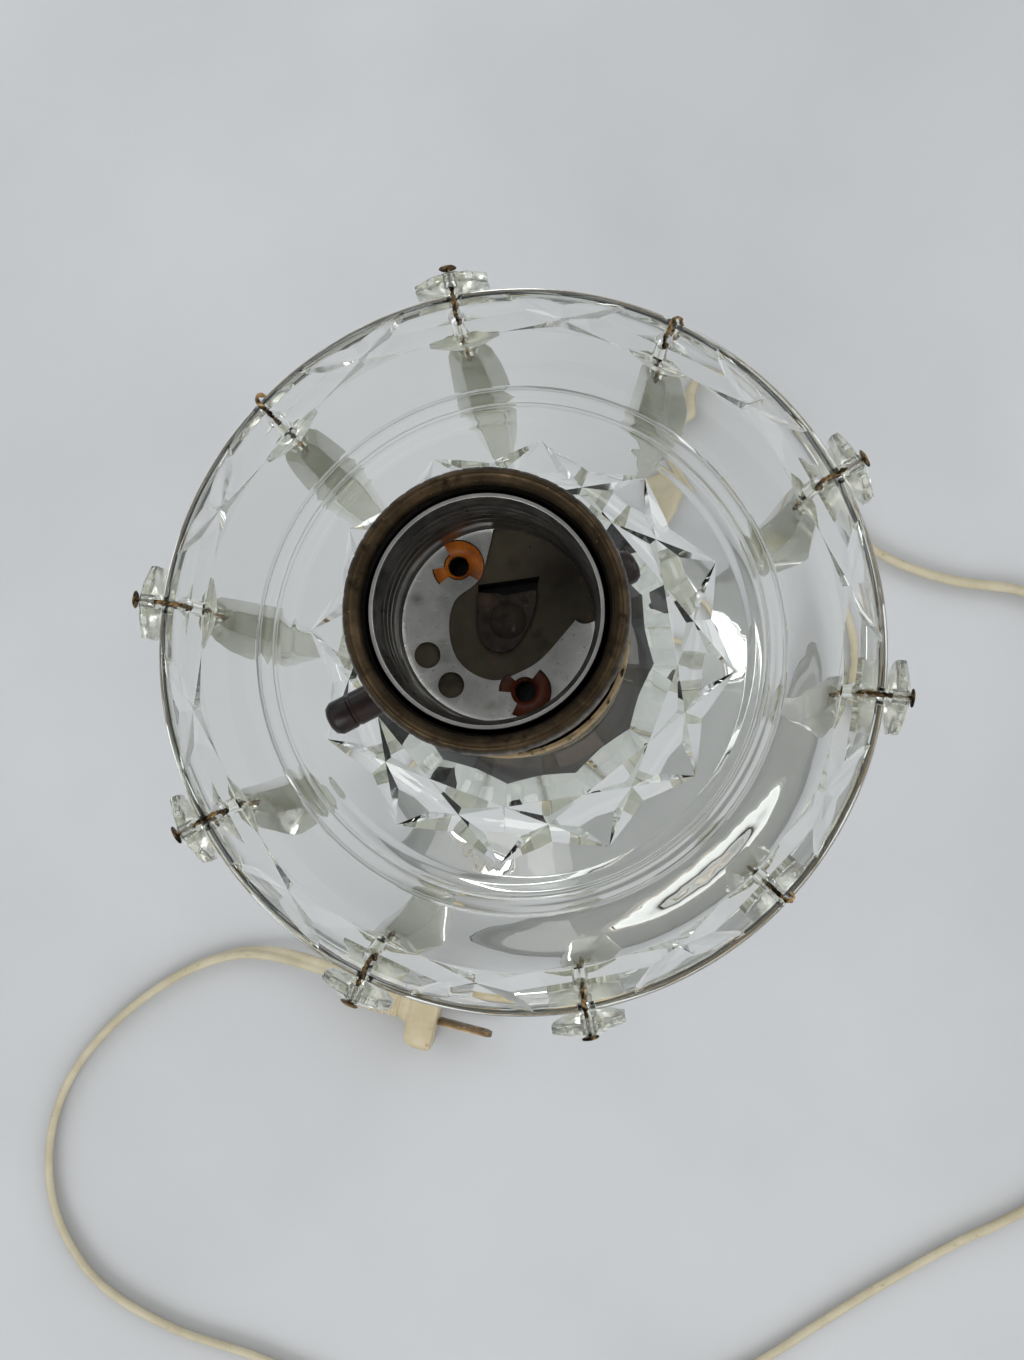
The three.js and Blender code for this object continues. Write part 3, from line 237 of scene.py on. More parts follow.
def sweep(
    name: str,
    path: Sequence[Vector],
    section: Sequence[tuple[float, float]],
    up: Vector,
    twist: Callable[[int], float] = lambda index: 0.0,
    size: Callable[[int], float] = lambda index: 1.0,
    sharp: float = 40.0,
) -> bpy.types.Object:
    """Draws a flat section along a path, keeping its second axis near a given direction.

    Args:
        name: the piece's name.
        path: centreline points.
        section: (across, up) corners about the path.
        up: the direction that the section's second axis starts from.
        twist: radians that the section is turned by at each path point.
        size: scale of the section at each path point.
        sharp: edges that turn by more degrees than this stay sharp.

    Returns:
        The swept piece with closed ends.
    """
    sections = []
    lift = up.copy()
    for index, point in enumerate(path):
        ahead = path[min(index + 1, len(path) - 1)] - path[max(index - 1, 0)]
        ahead.normalize()
        lift = (lift - ahead * lift.dot(ahead)).normalized()
        side = ahead.cross(lift)
        turn, scale = twist(index), size(index)
        first = (side * math.cos(turn) + lift * math.sin(turn)) * scale
        second = (lift * math.cos(turn) - side * math.sin(turn)) * scale
        sections.append([point + first * a + second * b for a, b in section])
    return loft(name, sections, sharp)


def circle(radius: float, sides: int) -> Outline:
    """Corners of a circle."""
    angles = [2 * math.pi * k / sides for k in range(sides)]
    return [(radius * math.cos(angle), radius * math.sin(angle)) for angle in angles]


def oblong(half_x: float, half_y: float) -> Outline:
    """Corners of an oblong about the axis."""
    return [(-half_x, -half_y), (half_x, -half_y), (half_x, half_y), (-half_x, half_y)]


def in_mm(*points: tuple[float, float]) -> Outline:
    """Points that are given in millimetres."""
    return [(x * MM, y * MM) for x, y in points]


def polar(radius: float, degrees: float, height: float = 0.0) -> Vector:
    """A point at a distance from the lamp's axis and an angle from +X."""
    angle = math.radians(degrees)
    return Vector((radius * math.cos(angle), radius * math.sin(angle), height))


def placed(obj: bpy.types.Object, matrix: Matrix) -> bpy.types.Object:
    """Moves a mesh's own corners by a matrix and returns the object."""
    obj.data.transform(matrix)
    return obj


def about_axis(degrees: float) -> Matrix:
    """A turn about the lamp's upright axis."""
    return Matrix.Rotation(math.radians(degrees), 4, "Z")


def outward(degrees: float, height: float) -> Matrix:
    """Lays an upright piece level at a height, pointing away from the axis at an angle."""
    return Matrix.Translation((0, 0, height)) @ about_axis(degrees) @ ALONG_X


def drop_angle(index: int) -> float:
    """Degrees from +X to a drop, the first of which is number 0."""
    return FIRST_DROP + 360 / DROPS * index


def with_modifiers(obj: bpy.types.Object, sharp: float) -> bpy.types.Object:
    """Makes the effect of a piece's modifiers its own mesh.

    Args:
        obj: the piece.
        sharp: edges that turn by more degrees than this stay sharp.

    Returns:
        The same piece without modifiers.
    """
    evaluated = obj.evaluated_get(bpy.context.evaluated_depsgraph_get())
    mesh = bpy.data.meshes.new_from_object(evaluated)
    obj.modifiers.clear()
    obj.data = mesh
    tidy_mesh(obj, sharp)
    return obj


def combined(
    obj: bpy.types.Object, tools: Sequence[bpy.types.Object], cut: Cut, sharp: float,
) -> bpy.types.Object:
    """Cuts tools from a piece, or keeps only what it shares with them, and deletes the tools.

    Args:
        obj: the piece that stays.
        tools: closed meshes.
        cut: what stays of the piece.
        sharp: edges that turn by more degrees than this stay sharp.

    Returns:
        The same piece with its new mesh.
    """
    for tool in tools:
        step = obj.modifiers.new("tool", "BOOLEAN")
        step.operation, step.object, step.solver = cut.value, tool, "EXACT"
    with_modifiers(obj, sharp)
    for tool in tools:
        bpy.data.objects.remove(tool)
    return obj


def bevelled(obj: bpy.types.Object, width: float, segments: int = 2, sharp: float = 30.0) -> bpy.types.Object:
    """Eases a piece's sharp edges.

    Args:
        obj: the piece.
        width: how much of each face the easing takes.
        segments: steps of the easing.
        sharp: edges that turn by more degrees than this stay sharp afterwards.

    Returns:
        The same piece.
    """
    step = obj.modifiers.new("ease", "BEVEL")
    step.width, step.segments = width, segments
    step.limit_method, step.angle_limit = "ANGLE", math.radians(24)
    return with_modifiers(obj, sharp)


def hull(name: str, points: Iterable[Sequence[float]], ease: float) -> bpy.types.Object:
    """The cut stone whose corners are the given points.

    Args:
        name: the piece's name.
        points: corners in any order.
        ease: how much its edges are rounded off.

    Returns:
        The faceted piece, with flat facets.
    """
    work = bmesh.new()
    for point in points:
        work.verts.new(point)
    made = bmesh.ops.convex_hull(work, input=work.verts)
    loose = [*made["geom_interior"], *made["geom_unused"]]
    spare = {corner for corner in loose if isinstance(corner, bmesh.types.BMVert)}
    bmesh.ops.delete(work, geom=list(spare), context="VERTS")
    bmesh.ops.dissolve_limit(work, angle_limit=math.radians(0.4), verts=work.verts, edges=work.edges)
    return bevelled(finished(name, work), ease, 1, 1.0)


def prism(name: str, corners: Outline, low: float, high: float) -> bpy.types.Object:
    """An upright prism over a flat outline, between two heights."""
    return loft(name, [[Vector((x, y, z)) for x, y in corners] for z in (low, high)])


def merged(name: str, parts: Sequence[bpy.types.Object]) -> bpy.types.Object:
    """Puts closed meshes that touch into one object.

    Args:
        name: the new object's name.
        parts: the objects that go into it, which are deleted.

    Returns:
        The new object.
    """
    work = bmesh.new()
    for part in parts:
        work.from_mesh(part.data)
        bpy.data.objects.remove(part)
    obj = finished(name, work)
    obj.data.set_sharp_from_angle(angle=math.radians(30))
    return obj


def coat(obj: bpy.types.Object, finish: "Coating") -> None:
    """Gives a piece a finish in place of what it had."""
    obj.data.materials.clear()
    obj.data.materials.append(finish.material())


def fit_piece(obj: bpy.types.Object, body: str, slot: str, finish: "Coating", *nodes: str) -> None:
    """Gives a finished piece its looks and body, and hides the nodes that it stands for.

    Args:
        obj: the piece.
        body: the body that it moves with.
        slot: not used.
        finish: its looks.
        nodes: the solids that it stands for; none where it only adds to one.
    """
    coat(obj, finish)
    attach(obj, body)
    if nodes:
        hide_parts(*nodes)
    LOG.info("%s: %d faces", obj.name, len(obj.data.polygons))


# Finishes


class NodeKit:
    """Short calls that add and join the nodes of a new material."""

    def __init__(self, name: str) -> None:
        """Starts a material with its usual shader.

        Args:
            name: the material's name.
        """
        self.material = bpy.data.materials.new(name)
        self.material.use_nodes = True
        self.tree = self.material.node_tree
        self.shader = self.first("BSDF_PRINCIPLED")
        self.coordinates = self.tree.nodes.new("ShaderNodeTexCoord")

    def first(self, kind: str) -> bpy.types.Node:
        """The first node of a type."""
        return next(node for node in self.tree.nodes if node.type == kind)

    def feed(self, node: bpy.types.Node, inputs: dict[str | int, object]) -> None:
        """Links or sets a node's inputs.

        Args:
            node: the node.
            inputs: another node's output or a plain value for each input's name or number.
        """
        for key, value in inputs.items():
            if isinstance(value, Output):
                self.tree.links.new(value, node.inputs[key])
            else:
                node.inputs[key].default_value = value

    def add(self, kind: str, inputs: dict[str | int, object], **options: str) -> bpy.types.Node:
        """Adds a node.

        Args:
            kind: its type, without the words that every shader node starts with.
            inputs: another node's output or a plain value for each input's name or number.
            options: its own settings.

        Returns:
            The node.
        """
        node = self.tree.nodes.new(f"ShaderNode{kind}")
        for option, choice in options.items():
            setattr(node, option, choice)
        self.feed(node, inputs)
        return node

    def place(self, stretch: Sequence[float]) -> Output:
        """The point on the piece, in millimetres, scaled along each axis."""
        inputs = {"Vector": self.coordinates.outputs["Object"], "Scale": [s / MM for s in stretch]}
        return self.add("Mapping", inputs).outputs["Vector"]

    def noise(self, place: Output, per_mm: float, detail: float) -> Output:
        """Cloudy noise with a number of clouds to the millimetre."""
        return self.add("TexNoise", {"Vector": place, "Scale": per_mm, "Detail": detail}).outputs["Fac"]

    def ranged(self, value: Output, low: float, high: float, to_low: float, to_high: float) -> Output:
        """Maps a value's range onto another, clamped."""
        inputs = {"Value": value, "From Min": low, "From Max": high, "To Min": to_low, "To Max": to_high}
        return self.add("MapRange", inputs).outputs["Result"]

    def math(self, kind: str, first: Output, second: float | Output) -> Output:
        """One sum on a value."""
        return self.add("Math", {0: first, 1: second}, operation=kind).outputs["Value"]

    def distance(self, centre_mm: Sequence[float]) -> Output:
        """How far the surface is from a point, in millimetres."""
        inputs = {0: self.place(EVEN), 1: centre_mm}
        return self.add("VectorMath", inputs, operation="DISTANCE").outputs["Value"]

    def mix(self, value: Output, first: Triple, second: Triple, low: float, high: float) -> Output:
        """A colour between two, by a value's range.

        Args:
            value: what chooses the colour.
            first: the colour at the range's low end.
            second: the colour at its high end.
            low: where the range starts.
            high: where it ends.

        Returns:
            The colour.
        """
        node = self.add("ValToRGB", {"Fac": value})
        for stop, position, colour in zip(node.color_ramp.elements, (low, high), (first, second)):
            stop.position = position
            stop.color = (*colour, 1.0)
        return node.outputs["Color"]

    def blend(self, amount: Output, under: Output, over: Triple) -> Output:
        """Lays a colour over another by an amount, with the inputs and output that a mix has for colours."""
        return self.add("Mix", {0: amount, 6: under, 7: (*over, 1.0)}, data_type="RGBA").outputs[2]

    def blend_value(self, amount: Output, under: Output, over: float) -> Output:
        """Lays a number over a value by an amount, with the inputs and output that a mix has for numbers."""
        return self.add("Mix", {0: amount, 2: under, 3: over}, data_type="FLOAT").outputs[0]

    def relief(self, value: Output, depth_mm: float) -> None:
        """Uses a value as a fine relief of that depth."""
        bump = self.add("Bump", {"Height": value, "Distance": depth_mm * MM})
        self.feed(self.shader, {"Normal": bump.outputs["Normal"]})


@dataclass(frozen=True)
class Speckle:
    """A second colour that shows where noise passes a level."""

    colour: Triple
    per_mm: float
    level: float
    softness: float = 0.1
    stretch: Triple = EVEN
    roughness: float = 0.6


@dataclass(frozen=True)
class StainAndShade:
    """A lighter or darker patch round a point of the lamp; the one on the fibre disc is painted shade."""

    colour: Triple
    centre_mm: Triple
    radius_mm: float
    softness_mm: float
    strength: float = 1.0


@dataclass(frozen=True)
class Coating:
    """What a piece is made of or covered with, under a name of its own."""

    name: str

    def material(self) -> bpy.types.Material:
        """The node material, made once for each name."""
        return bpy.data.materials.get(self.name) or self.painted(NodeKit(self.name))

    def painted(self, kit: NodeKit) -> bpy.types.Material:
        raise NotImplementedError(kit.material.name)


@dataclass(frozen=True)
class Finish(Coating):
    """An opaque finish: two mottled colours, speckles, darker and lighter patches (one of them painted
    shade), uneven gloss and a fine relief.
    """

    colour: Triple
    mottle: Triple
    roughness: tuple[float, float]
    metallic: float = 0.0
    grain_per_mm: float = 0.3
    stretch: Triple = EVEN
    relief_mm: float = 0.02
    relief_per_mm: float = 2.0
    speckles: tuple[Speckle, ...] = ()
    stains_and_shade: tuple[StainAndShade, ...] = ()
    specular: float = 0.5
    coat: float = 0.0
    coat_roughness: float = 0.08
    subsurface: float = 0.0
    subsurface_reach: Triple = (0.002, 0.0015, 0.001)

    def painted(self, kit: NodeKit) -> bpy.types.Material:
        """Adds the nodes of an opaque finish.

        Args:
            kit: the new material.

        Returns:
            The same material.
        """
        place = kit.place(self.stretch)
        cloud = kit.noise(place, self.grain_per_mm, 5.0)
        colour = kit.mix(cloud, self.colour, self.mottle, 0.36, 0.64)
        gloss = kit.ranged(kit.noise(place, self.grain_per_mm * 2.7, 4.0), 0.3, 0.7, *self.roughness)
        for speckle in self.speckles:
            spots = kit.noise(kit.place(speckle.stretch), speckle.per_mm, 3.0)
            low, high = speckle.level - speckle.softness, speckle.level + speckle.softness
            amount = kit.ranged(spots, low, high, 0.0, 1.0)
            colour = kit.blend(amount, colour, speckle.colour)
            gloss = kit.blend_value(amount, gloss, speckle.roughness)
        # Patches round points of the lamp; the fibre disc's dark one is painted shade.
        for stain_and_shade in self.stains_and_shade:
            ragged = kit.math("MULTIPLY", cloud, 2 * stain_and_shade.softness_mm)
            reach = kit.math("ADD", kit.distance(stain_and_shade.centre_mm), ragged)
            end = stain_and_shade.radius_mm + 2 * stain_and_shade.softness_mm
            amount = kit.ranged(reach, stain_and_shade.radius_mm, end, stain_and_shade.strength, 0.0)
            colour = kit.blend(amount, colour, stain_and_shade.colour)
        kit.feed(kit.shader, {
            "Base Color": colour, "Roughness": gloss,
            "Metallic": self.metallic, "Specular IOR Level": self.specular,
            "Coat Weight": self.coat, "Coat Roughness": self.coat_roughness,
            "Subsurface Weight": self.subsurface, "Subsurface Radius": self.subsurface_reach,
        })
        if self.relief_mm:
            kit.relief(kit.noise(place, self.relief_per_mm, 4.0), self.relief_mm)
        return kit.material


@dataclass(frozen=True)
class Glass(Coating):
    """Clear glass with a tint that deepens with its thickness, waves from the mould and a trace of dust."""

    tint: Triple
    roughness: tuple[float, float] = (0.0, 0.02)
    wave_mm: float = 0.02
    wave_per_mm: float = 0.12
    index: float = 1.52
    clearness: float = 1.0
    depth_colour: Triple = (0.8, 0.84, 0.78)
    depth_density: float = 16.0

    def painted(self, kit: NodeKit) -> bpy.types.Material:
        """Adds the nodes of a glass.

        Args:
            kit: the new material.

        Returns:
            The same material.
        """
        place = kit.place(EVEN)
        deeper = tuple(0.985 * channel for channel in self.tint)
        tint = kit.mix(kit.noise(place, 0.08, 3.0), self.tint, deeper, 0.35, 0.65)
        gloss = kit.ranged(kit.noise(place, 1.3, 6.0), 0.45, 0.8, *self.roughness)
        kit.feed(kit.shader, {
            "Base Color": tint, "Roughness": gloss, "Transmission Weight": self.clearness, "IOR": self.index,
        })
        kit.relief(kit.noise(place, self.wave_per_mm, 2.0), self.wave_mm)
        density = {"Color": (*self.depth_colour, 1.0), "Density": self.depth_density}
        depth = kit.add("VolumeAbsorption", density)
        kit.feed(kit.first("OUTPUT_MATERIAL"), {"Volume": depth.outputs["Volume"]})
        return kit.material


CLEAR_GLASS = Glass("clear_pressed_glass", (0.985, 0.99, 0.975))
DROP_GLASS = Glass(
    "octagon_glass", (0.93, 0.94, 0.89), (0.02, 0.09), 0.04, 0.4, clearness=0.92,
    depth_colour=(0.8, 0.82, 0.7), depth_density=35.0,
)
SPEAR_GLASS = Glass(
    "spear_glass", (0.88, 0.89, 0.79), (0.02, 0.1), 0.03, 0.3, clearness=0.82,
    depth_colour=(0.8, 0.81, 0.68), depth_density=35.0,
)
AGED_BRASS = Finish(
    "browned_brass", (0.28, 0.215, 0.125), (0.4, 0.31, 0.185), (0.34, 0.52), 1.0, 0.35,
    relief_mm=0.012, relief_per_mm=3.0,
    speckles=(
        Speckle((0.3, 0.25, 0.17), 1.6, 0.68, 0.05, roughness=0.35),
        Speckle((0.015, 0.012, 0.009), 0.9, 0.62, 0.08),
    ),
)
GOLD_BRASS = Finish(
    "worn_gold_brass", (0.62, 0.46, 0.26), (0.42, 0.29, 0.15), (0.18, 0.34), 1.0, 0.5,
    stretch=(1.0, 1.0, 3.0), relief_mm=0.008, relief_per_mm=3.0,
    speckles=(Speckle((0.05, 0.035, 0.02), 1.1, 0.67, 0.06),),
)
SHELL_BRASS = Finish(
    "worn_shell_brass", (0.034, 0.024, 0.014), (0.066, 0.046, 0.026), (0.32, 0.5), 1.0, 0.3,
    stretch=(1.0, 1.0, 0.4), relief_mm=0.01, relief_per_mm=2.0,
    speckles=(
        Speckle((0.2, 0.165, 0.11), 1.8, 0.73, 0.04, stretch=(1.0, 1.0, 0.25), roughness=0.35),
        Speckle((0.014, 0.011, 0.008), 0.5, 0.63, 0.1, stretch=(1.0, 1.0, 0.4)),
        Speckle((0.16, 0.15, 0.13), 3.4, 0.74, 0.03, roughness=0.3),
    ),
    # The shell is lighter gold on its side towards +X -Y, under the bead.
    stains_and_shade=(StainAndShade((0.55, 0.42, 0.26), (13.0, -10.0, 284.0), 12.0, 6.0, 0.8),),
)
BRIGHT_BRASS = Finish("plain_brass", (0.58, 0.43, 0.2), (0.45, 0.32, 0.14), (0.25, 0.4), 1.0, 0.4)
BLADE_BRASS = Finish(
    "tarnished_blade_brass", (0.27, 0.19, 0.1), (0.16, 0.11, 0.06), (0.3, 0.5), 1.0, 0.3,
    speckles=(Speckle((0.5, 0.4, 0.25), 1.2, 0.66, 0.06),),
)
STEEL = Finish("zinced_steel", (0.6, 0.58, 0.53), (0.46, 0.44, 0.39), (0.28, 0.5), 1.0, 0.4)
ALUMINIUM = Finish(
    "spun_aluminium", (0.37, 0.365, 0.35), (0.27, 0.27, 0.26), (0.26, 0.4), 1.0, 0.18,
    relief_mm=0.012, relief_per_mm=5.0,
    speckles=(
        Speckle((0.06, 0.055, 0.05), 2.3, 0.72, 0.025, roughness=0.7),
        Speckle((0.24, 0.23, 0.21), 0.35, 0.64, 0.12, roughness=0.5),
        Speckle((0.5, 0.5, 0.49), 3.2, 0.7, 0.05, stretch=(0.2, 1.0, 1.0), roughness=0.25),
    ),
    stains_and_shade=(StainAndShade((0.04, 0.035, 0.03), (-10.6, 3.4, 282.5), 0.2, 0.9, 0.9),),
)
BAKELITE = Finish(
    "brown_bakelite", (0.006, 0.003, 0.003), (0.014, 0.006, 0.005), (0.22, 0.36), 0.0, 0.25,
    relief_mm=0.006, specular=0.22,
)
FIBRE = Finish(
    "tan_fibre", (0.1, 0.086, 0.056), (0.072, 0.062, 0.04), (0.62, 0.85), 0.0, 0.25,
    relief_mm=0.02, relief_per_mm=5.0, specular=0.25,
    speckles=(
        Speckle((0.03, 0.022, 0.014), 0.22, 0.62, 0.1),
        Speckle((0.015, 0.012, 0.01), 1.6, 0.72, 0.02),
        Speckle((0.14, 0.07, 0.03), 0.7, 0.7, 0.05),
    ),
    # The dark patch on the disc towards +X +Y is the painted shadow of the socket's wall.
    stains_and_shade=(StainAndShade((0.014, 0.01, 0.007), (9.5, 7.0, 281.8), 5.0, 4.0, 0.93),),
)
BLACK_FIBRE = Finish(
    "black_insulating_paper", (0.006, 0.005, 0.0045), (0.012, 0.01, 0.008), (0.6, 0.85), 0.0, 0.8,
    specular=0.2,
)
CONTACT = Finish(
    "dull_contact_metal", (0.03, 0.02, 0.013), (0.045, 0.032, 0.022), (0.5, 0.7), 0.0, 0.3,
    relief_mm=0.03, relief_per_mm=1.5, specular=0.35,
    speckles=(
        Speckle((0.1, 0.1, 0.095), 1.1, 0.7, 0.04, roughness=0.4),
        Speckle((0.01, 0.008, 0.006), 0.7, 0.6, 0.1),
    ),
    stains_and_shade=(StainAndShade((0.085, 0.05, 0.03), (-1.6, 3.2, 282.5), 0.9, 0.8, 0.9),),
)
AMBER = Finish(
    "amber_resin", (0.72, 0.21, 0.012), (0.45, 0.11, 0.008), (0.22, 0.34), 0.0, 0.5,
    relief_mm=0.02, specular=0.4, coat=0.05, subsurface=0.4,
    # The amber is darker on its side towards the socket's axis.
    stains_and_shade=(StainAndShade((0.14, 0.03, 0.004), (-3.4, 6.2, 282.2), 1.2, 0.9, 0.85),),
)
BURNT_AMBER = Finish(
    "burnt_amber_resin", (0.12, 0.022, 0.004), (0.05, 0.01, 0.003), (0.25, 0.4), 0.0, 0.5,
    relief_mm=0.02, specular=0.25, subsurface=0.2,
)
DROP_WIRE = Finish(
    "dark_bronze_wire", (0.05, 0.032, 0.016), (0.36, 0.24, 0.11), (0.26, 0.5), 1.0, 0.9,
    relief_mm=0.04, relief_per_mm=2.0,
    speckles=(Speckle((0.012, 0.009, 0.006), 0.5, 0.54, 0.08, roughness=0.7),),
)
GASKET = Finish("soft_gasket", (0.62, 0.63, 0.58), (0.52, 0.53, 0.48), (0.5, 0.7), 0.0, 0.3, subsurface=0.2)
CREAM_LEAD = Finish(
    "cream_insulation", (0.5, 0.45, 0.32), (0.42, 0.37, 0.25), (0.45, 0.6), 0.0, 0.12,
    relief_mm=0.02, relief_per_mm=1.0, speckles=(Speckle((0.34, 0.28, 0.18), 0.5, 0.7, 0.06),),
)
CREAM_PLUG = Finish(
    "yellowed_plug", (0.53, 0.46, 0.31), (0.44, 0.37, 0.23), (0.3, 0.46), 0.0, 0.15,
    relief_mm=0.02, relief_per_mm=1.2, speckles=(Speckle((0.36, 0.26, 0.14), 0.6, 0.69, 0.05),),
    subsurface=0.1,
)


# The room


@dataclass(frozen=True)
class SoftLamp:
    """A large soft lamp; one that doesn't light the table shows only in glass and metal."""

    name: str
    at: Triple
    width: float
    height: float
    power: float
    colour: Triple = EVEN
    lights_table: bool = True


@dataclass
class Studio:
    """Camera, table, lamps and the light all round.

    The sky's pairs are how far up a direction points, from level to straight up, and how bright it is there.
    """

    camera_at: Triple = (0.015574, -0.018160, 0.504223)
    looks: Triple = (-0.061952, 0.049495, -0.996851)
    upward: Triple = (0.0015356, 0.998773, 0.049495)
    focal_pixels: float = 1720.0
    image_height: float = 1360.0
    sensor: float = 36.0
    table_half: float = 12.0
    table_below: float = 0.3 * MM
    table_colour: Triple = (0.53, 0.54, 0.55)
    sky: tuple[tuple[float, float], ...] = (
        (0.0, 0.6), (0.34, 0.95), (0.6, 1.35), (0.8, 0.95), (0.93, 0.4), (0.996, 0.32), (1.0, 1.0),
    )
    lamps_aim: Triple = (0.0, 0.0, 0.15)
    lamps: tuple[SoftLamp, ...] = (
        SoftLamp("key", (-0.5, -1.1, 1.25), 0.9, 0.9, 7.5),
        SoftLamp("fill", (0.9, 0.7, 1.3), 1.2, 1.2, 4.0),
        SoftLamp("right_window", (1.6, 0.5, 0.36), 1.0, 0.55, 3.2, (0.97, 0.985, 1.0), False),
        SoftLamp("back_window", (-0.8, 1.5, 0.34), 0.9, 0.5, 2.6, (0.96, 0.98, 1.0), False),
        SoftLamp("warm_side", (0.8, -1.5, 0.3), 1.3, 0.5, 1.4, (1.0, 0.66, 0.4), False),
    )

    def build(self) -> None:
        """Makes everything that isn't the lamp."""
        self.make_camera()
        self.make_table()
        self.make_world()
        for lamp in self.lamps:
            self.make_lamp(lamp)

    def make_camera(self) -> None:
        """Puts the camera where the picture was taken from."""
        data = bpy.data.cameras.new("camera")
        data.sensor_width = self.sensor
        data.lens = self.sensor * self.focal_pixels / self.image_height
        data.clip_start, data.clip_end = 0.01, 20.0
        forward, up = Vector(self.looks).normalized(), Vector(self.upward).normalized()
        turn = Matrix((forward.cross(up), up, -forward)).transposed().to_4x4()
        camera = linked("camera", data)
        camera.matrix_world = Matrix.Translation(self.camera_at) @ turn
        bpy.context.scene.camera = camera

    def make_table(self) -> None:
        """Lays the plain pale table top."""
        corners = [(x, y, -self.table_below) for x, y in oblong(self.table_half, self.table_half)]
        table = make_object("table_top", corners, [(0, 1, 2, 3)])
        pale = tuple(0.93 * channel for channel in self.table_colour)
        coat(table, Finish(
            "pale_table", self.table_colour, pale, (0.5, 0.6), 0.0, 0.01, relief_mm=0.0, specular=0.0,
        ))

    def make_world(self) -> None:
        """Sets soft light from all round, which is brightest about halfway up."""
        world = bpy.data.worlds.new("soft_room")
        bpy.context.scene.world = world
        world.use_nodes = True
        nodes, links = world.node_tree.nodes, world.node_tree.links
        background = nodes["Background"]
        coordinates = nodes.new("ShaderNodeTexCoord")
        split = nodes.new("ShaderNodeSeparateXYZ")
        sky = nodes.new("ShaderNodeValToRGB")
        stops = sky.color_ramp.elements
        for place, _ in self.sky[1:-1]:
            stops.new(place)
        for stop, (_, level) in zip(stops, self.sky):
            stop.color = (0.97 * level, 0.985 * level, level, 1)
        links.new(coordinates.outputs["Generated"], split.inputs["Vector"])
        links.new(split.outputs["Z"], sky.inputs["Fac"])
        links.new(sky.outputs["Color"], background.inputs["Color"])
        background.inputs["Strength"].default_value = 1.0

    def make_lamp(self, kind: SoftLamp) -> None:
        """Adds one lamp.

        Args:
            kind: its place, size and power.
        """
        data = bpy.data.lights.new(kind.name, "AREA")
        data.shape, data.size, data.size_y = "RECTANGLE", kind.width, kind.height
        data.energy, data.color = kind.power, kind.colour
        lamp = linked(kind.name, data)
        lamp.visible_camera = False
        lamp.visible_diffuse = kind.lights_table
        lamp.location = kind.at
        aim = Vector(self.lamps_aim) - Vector(kind.at)
        lamp.rotation_euler = aim.to_track_quat("-Z", "Y").to_euler()


# Glass


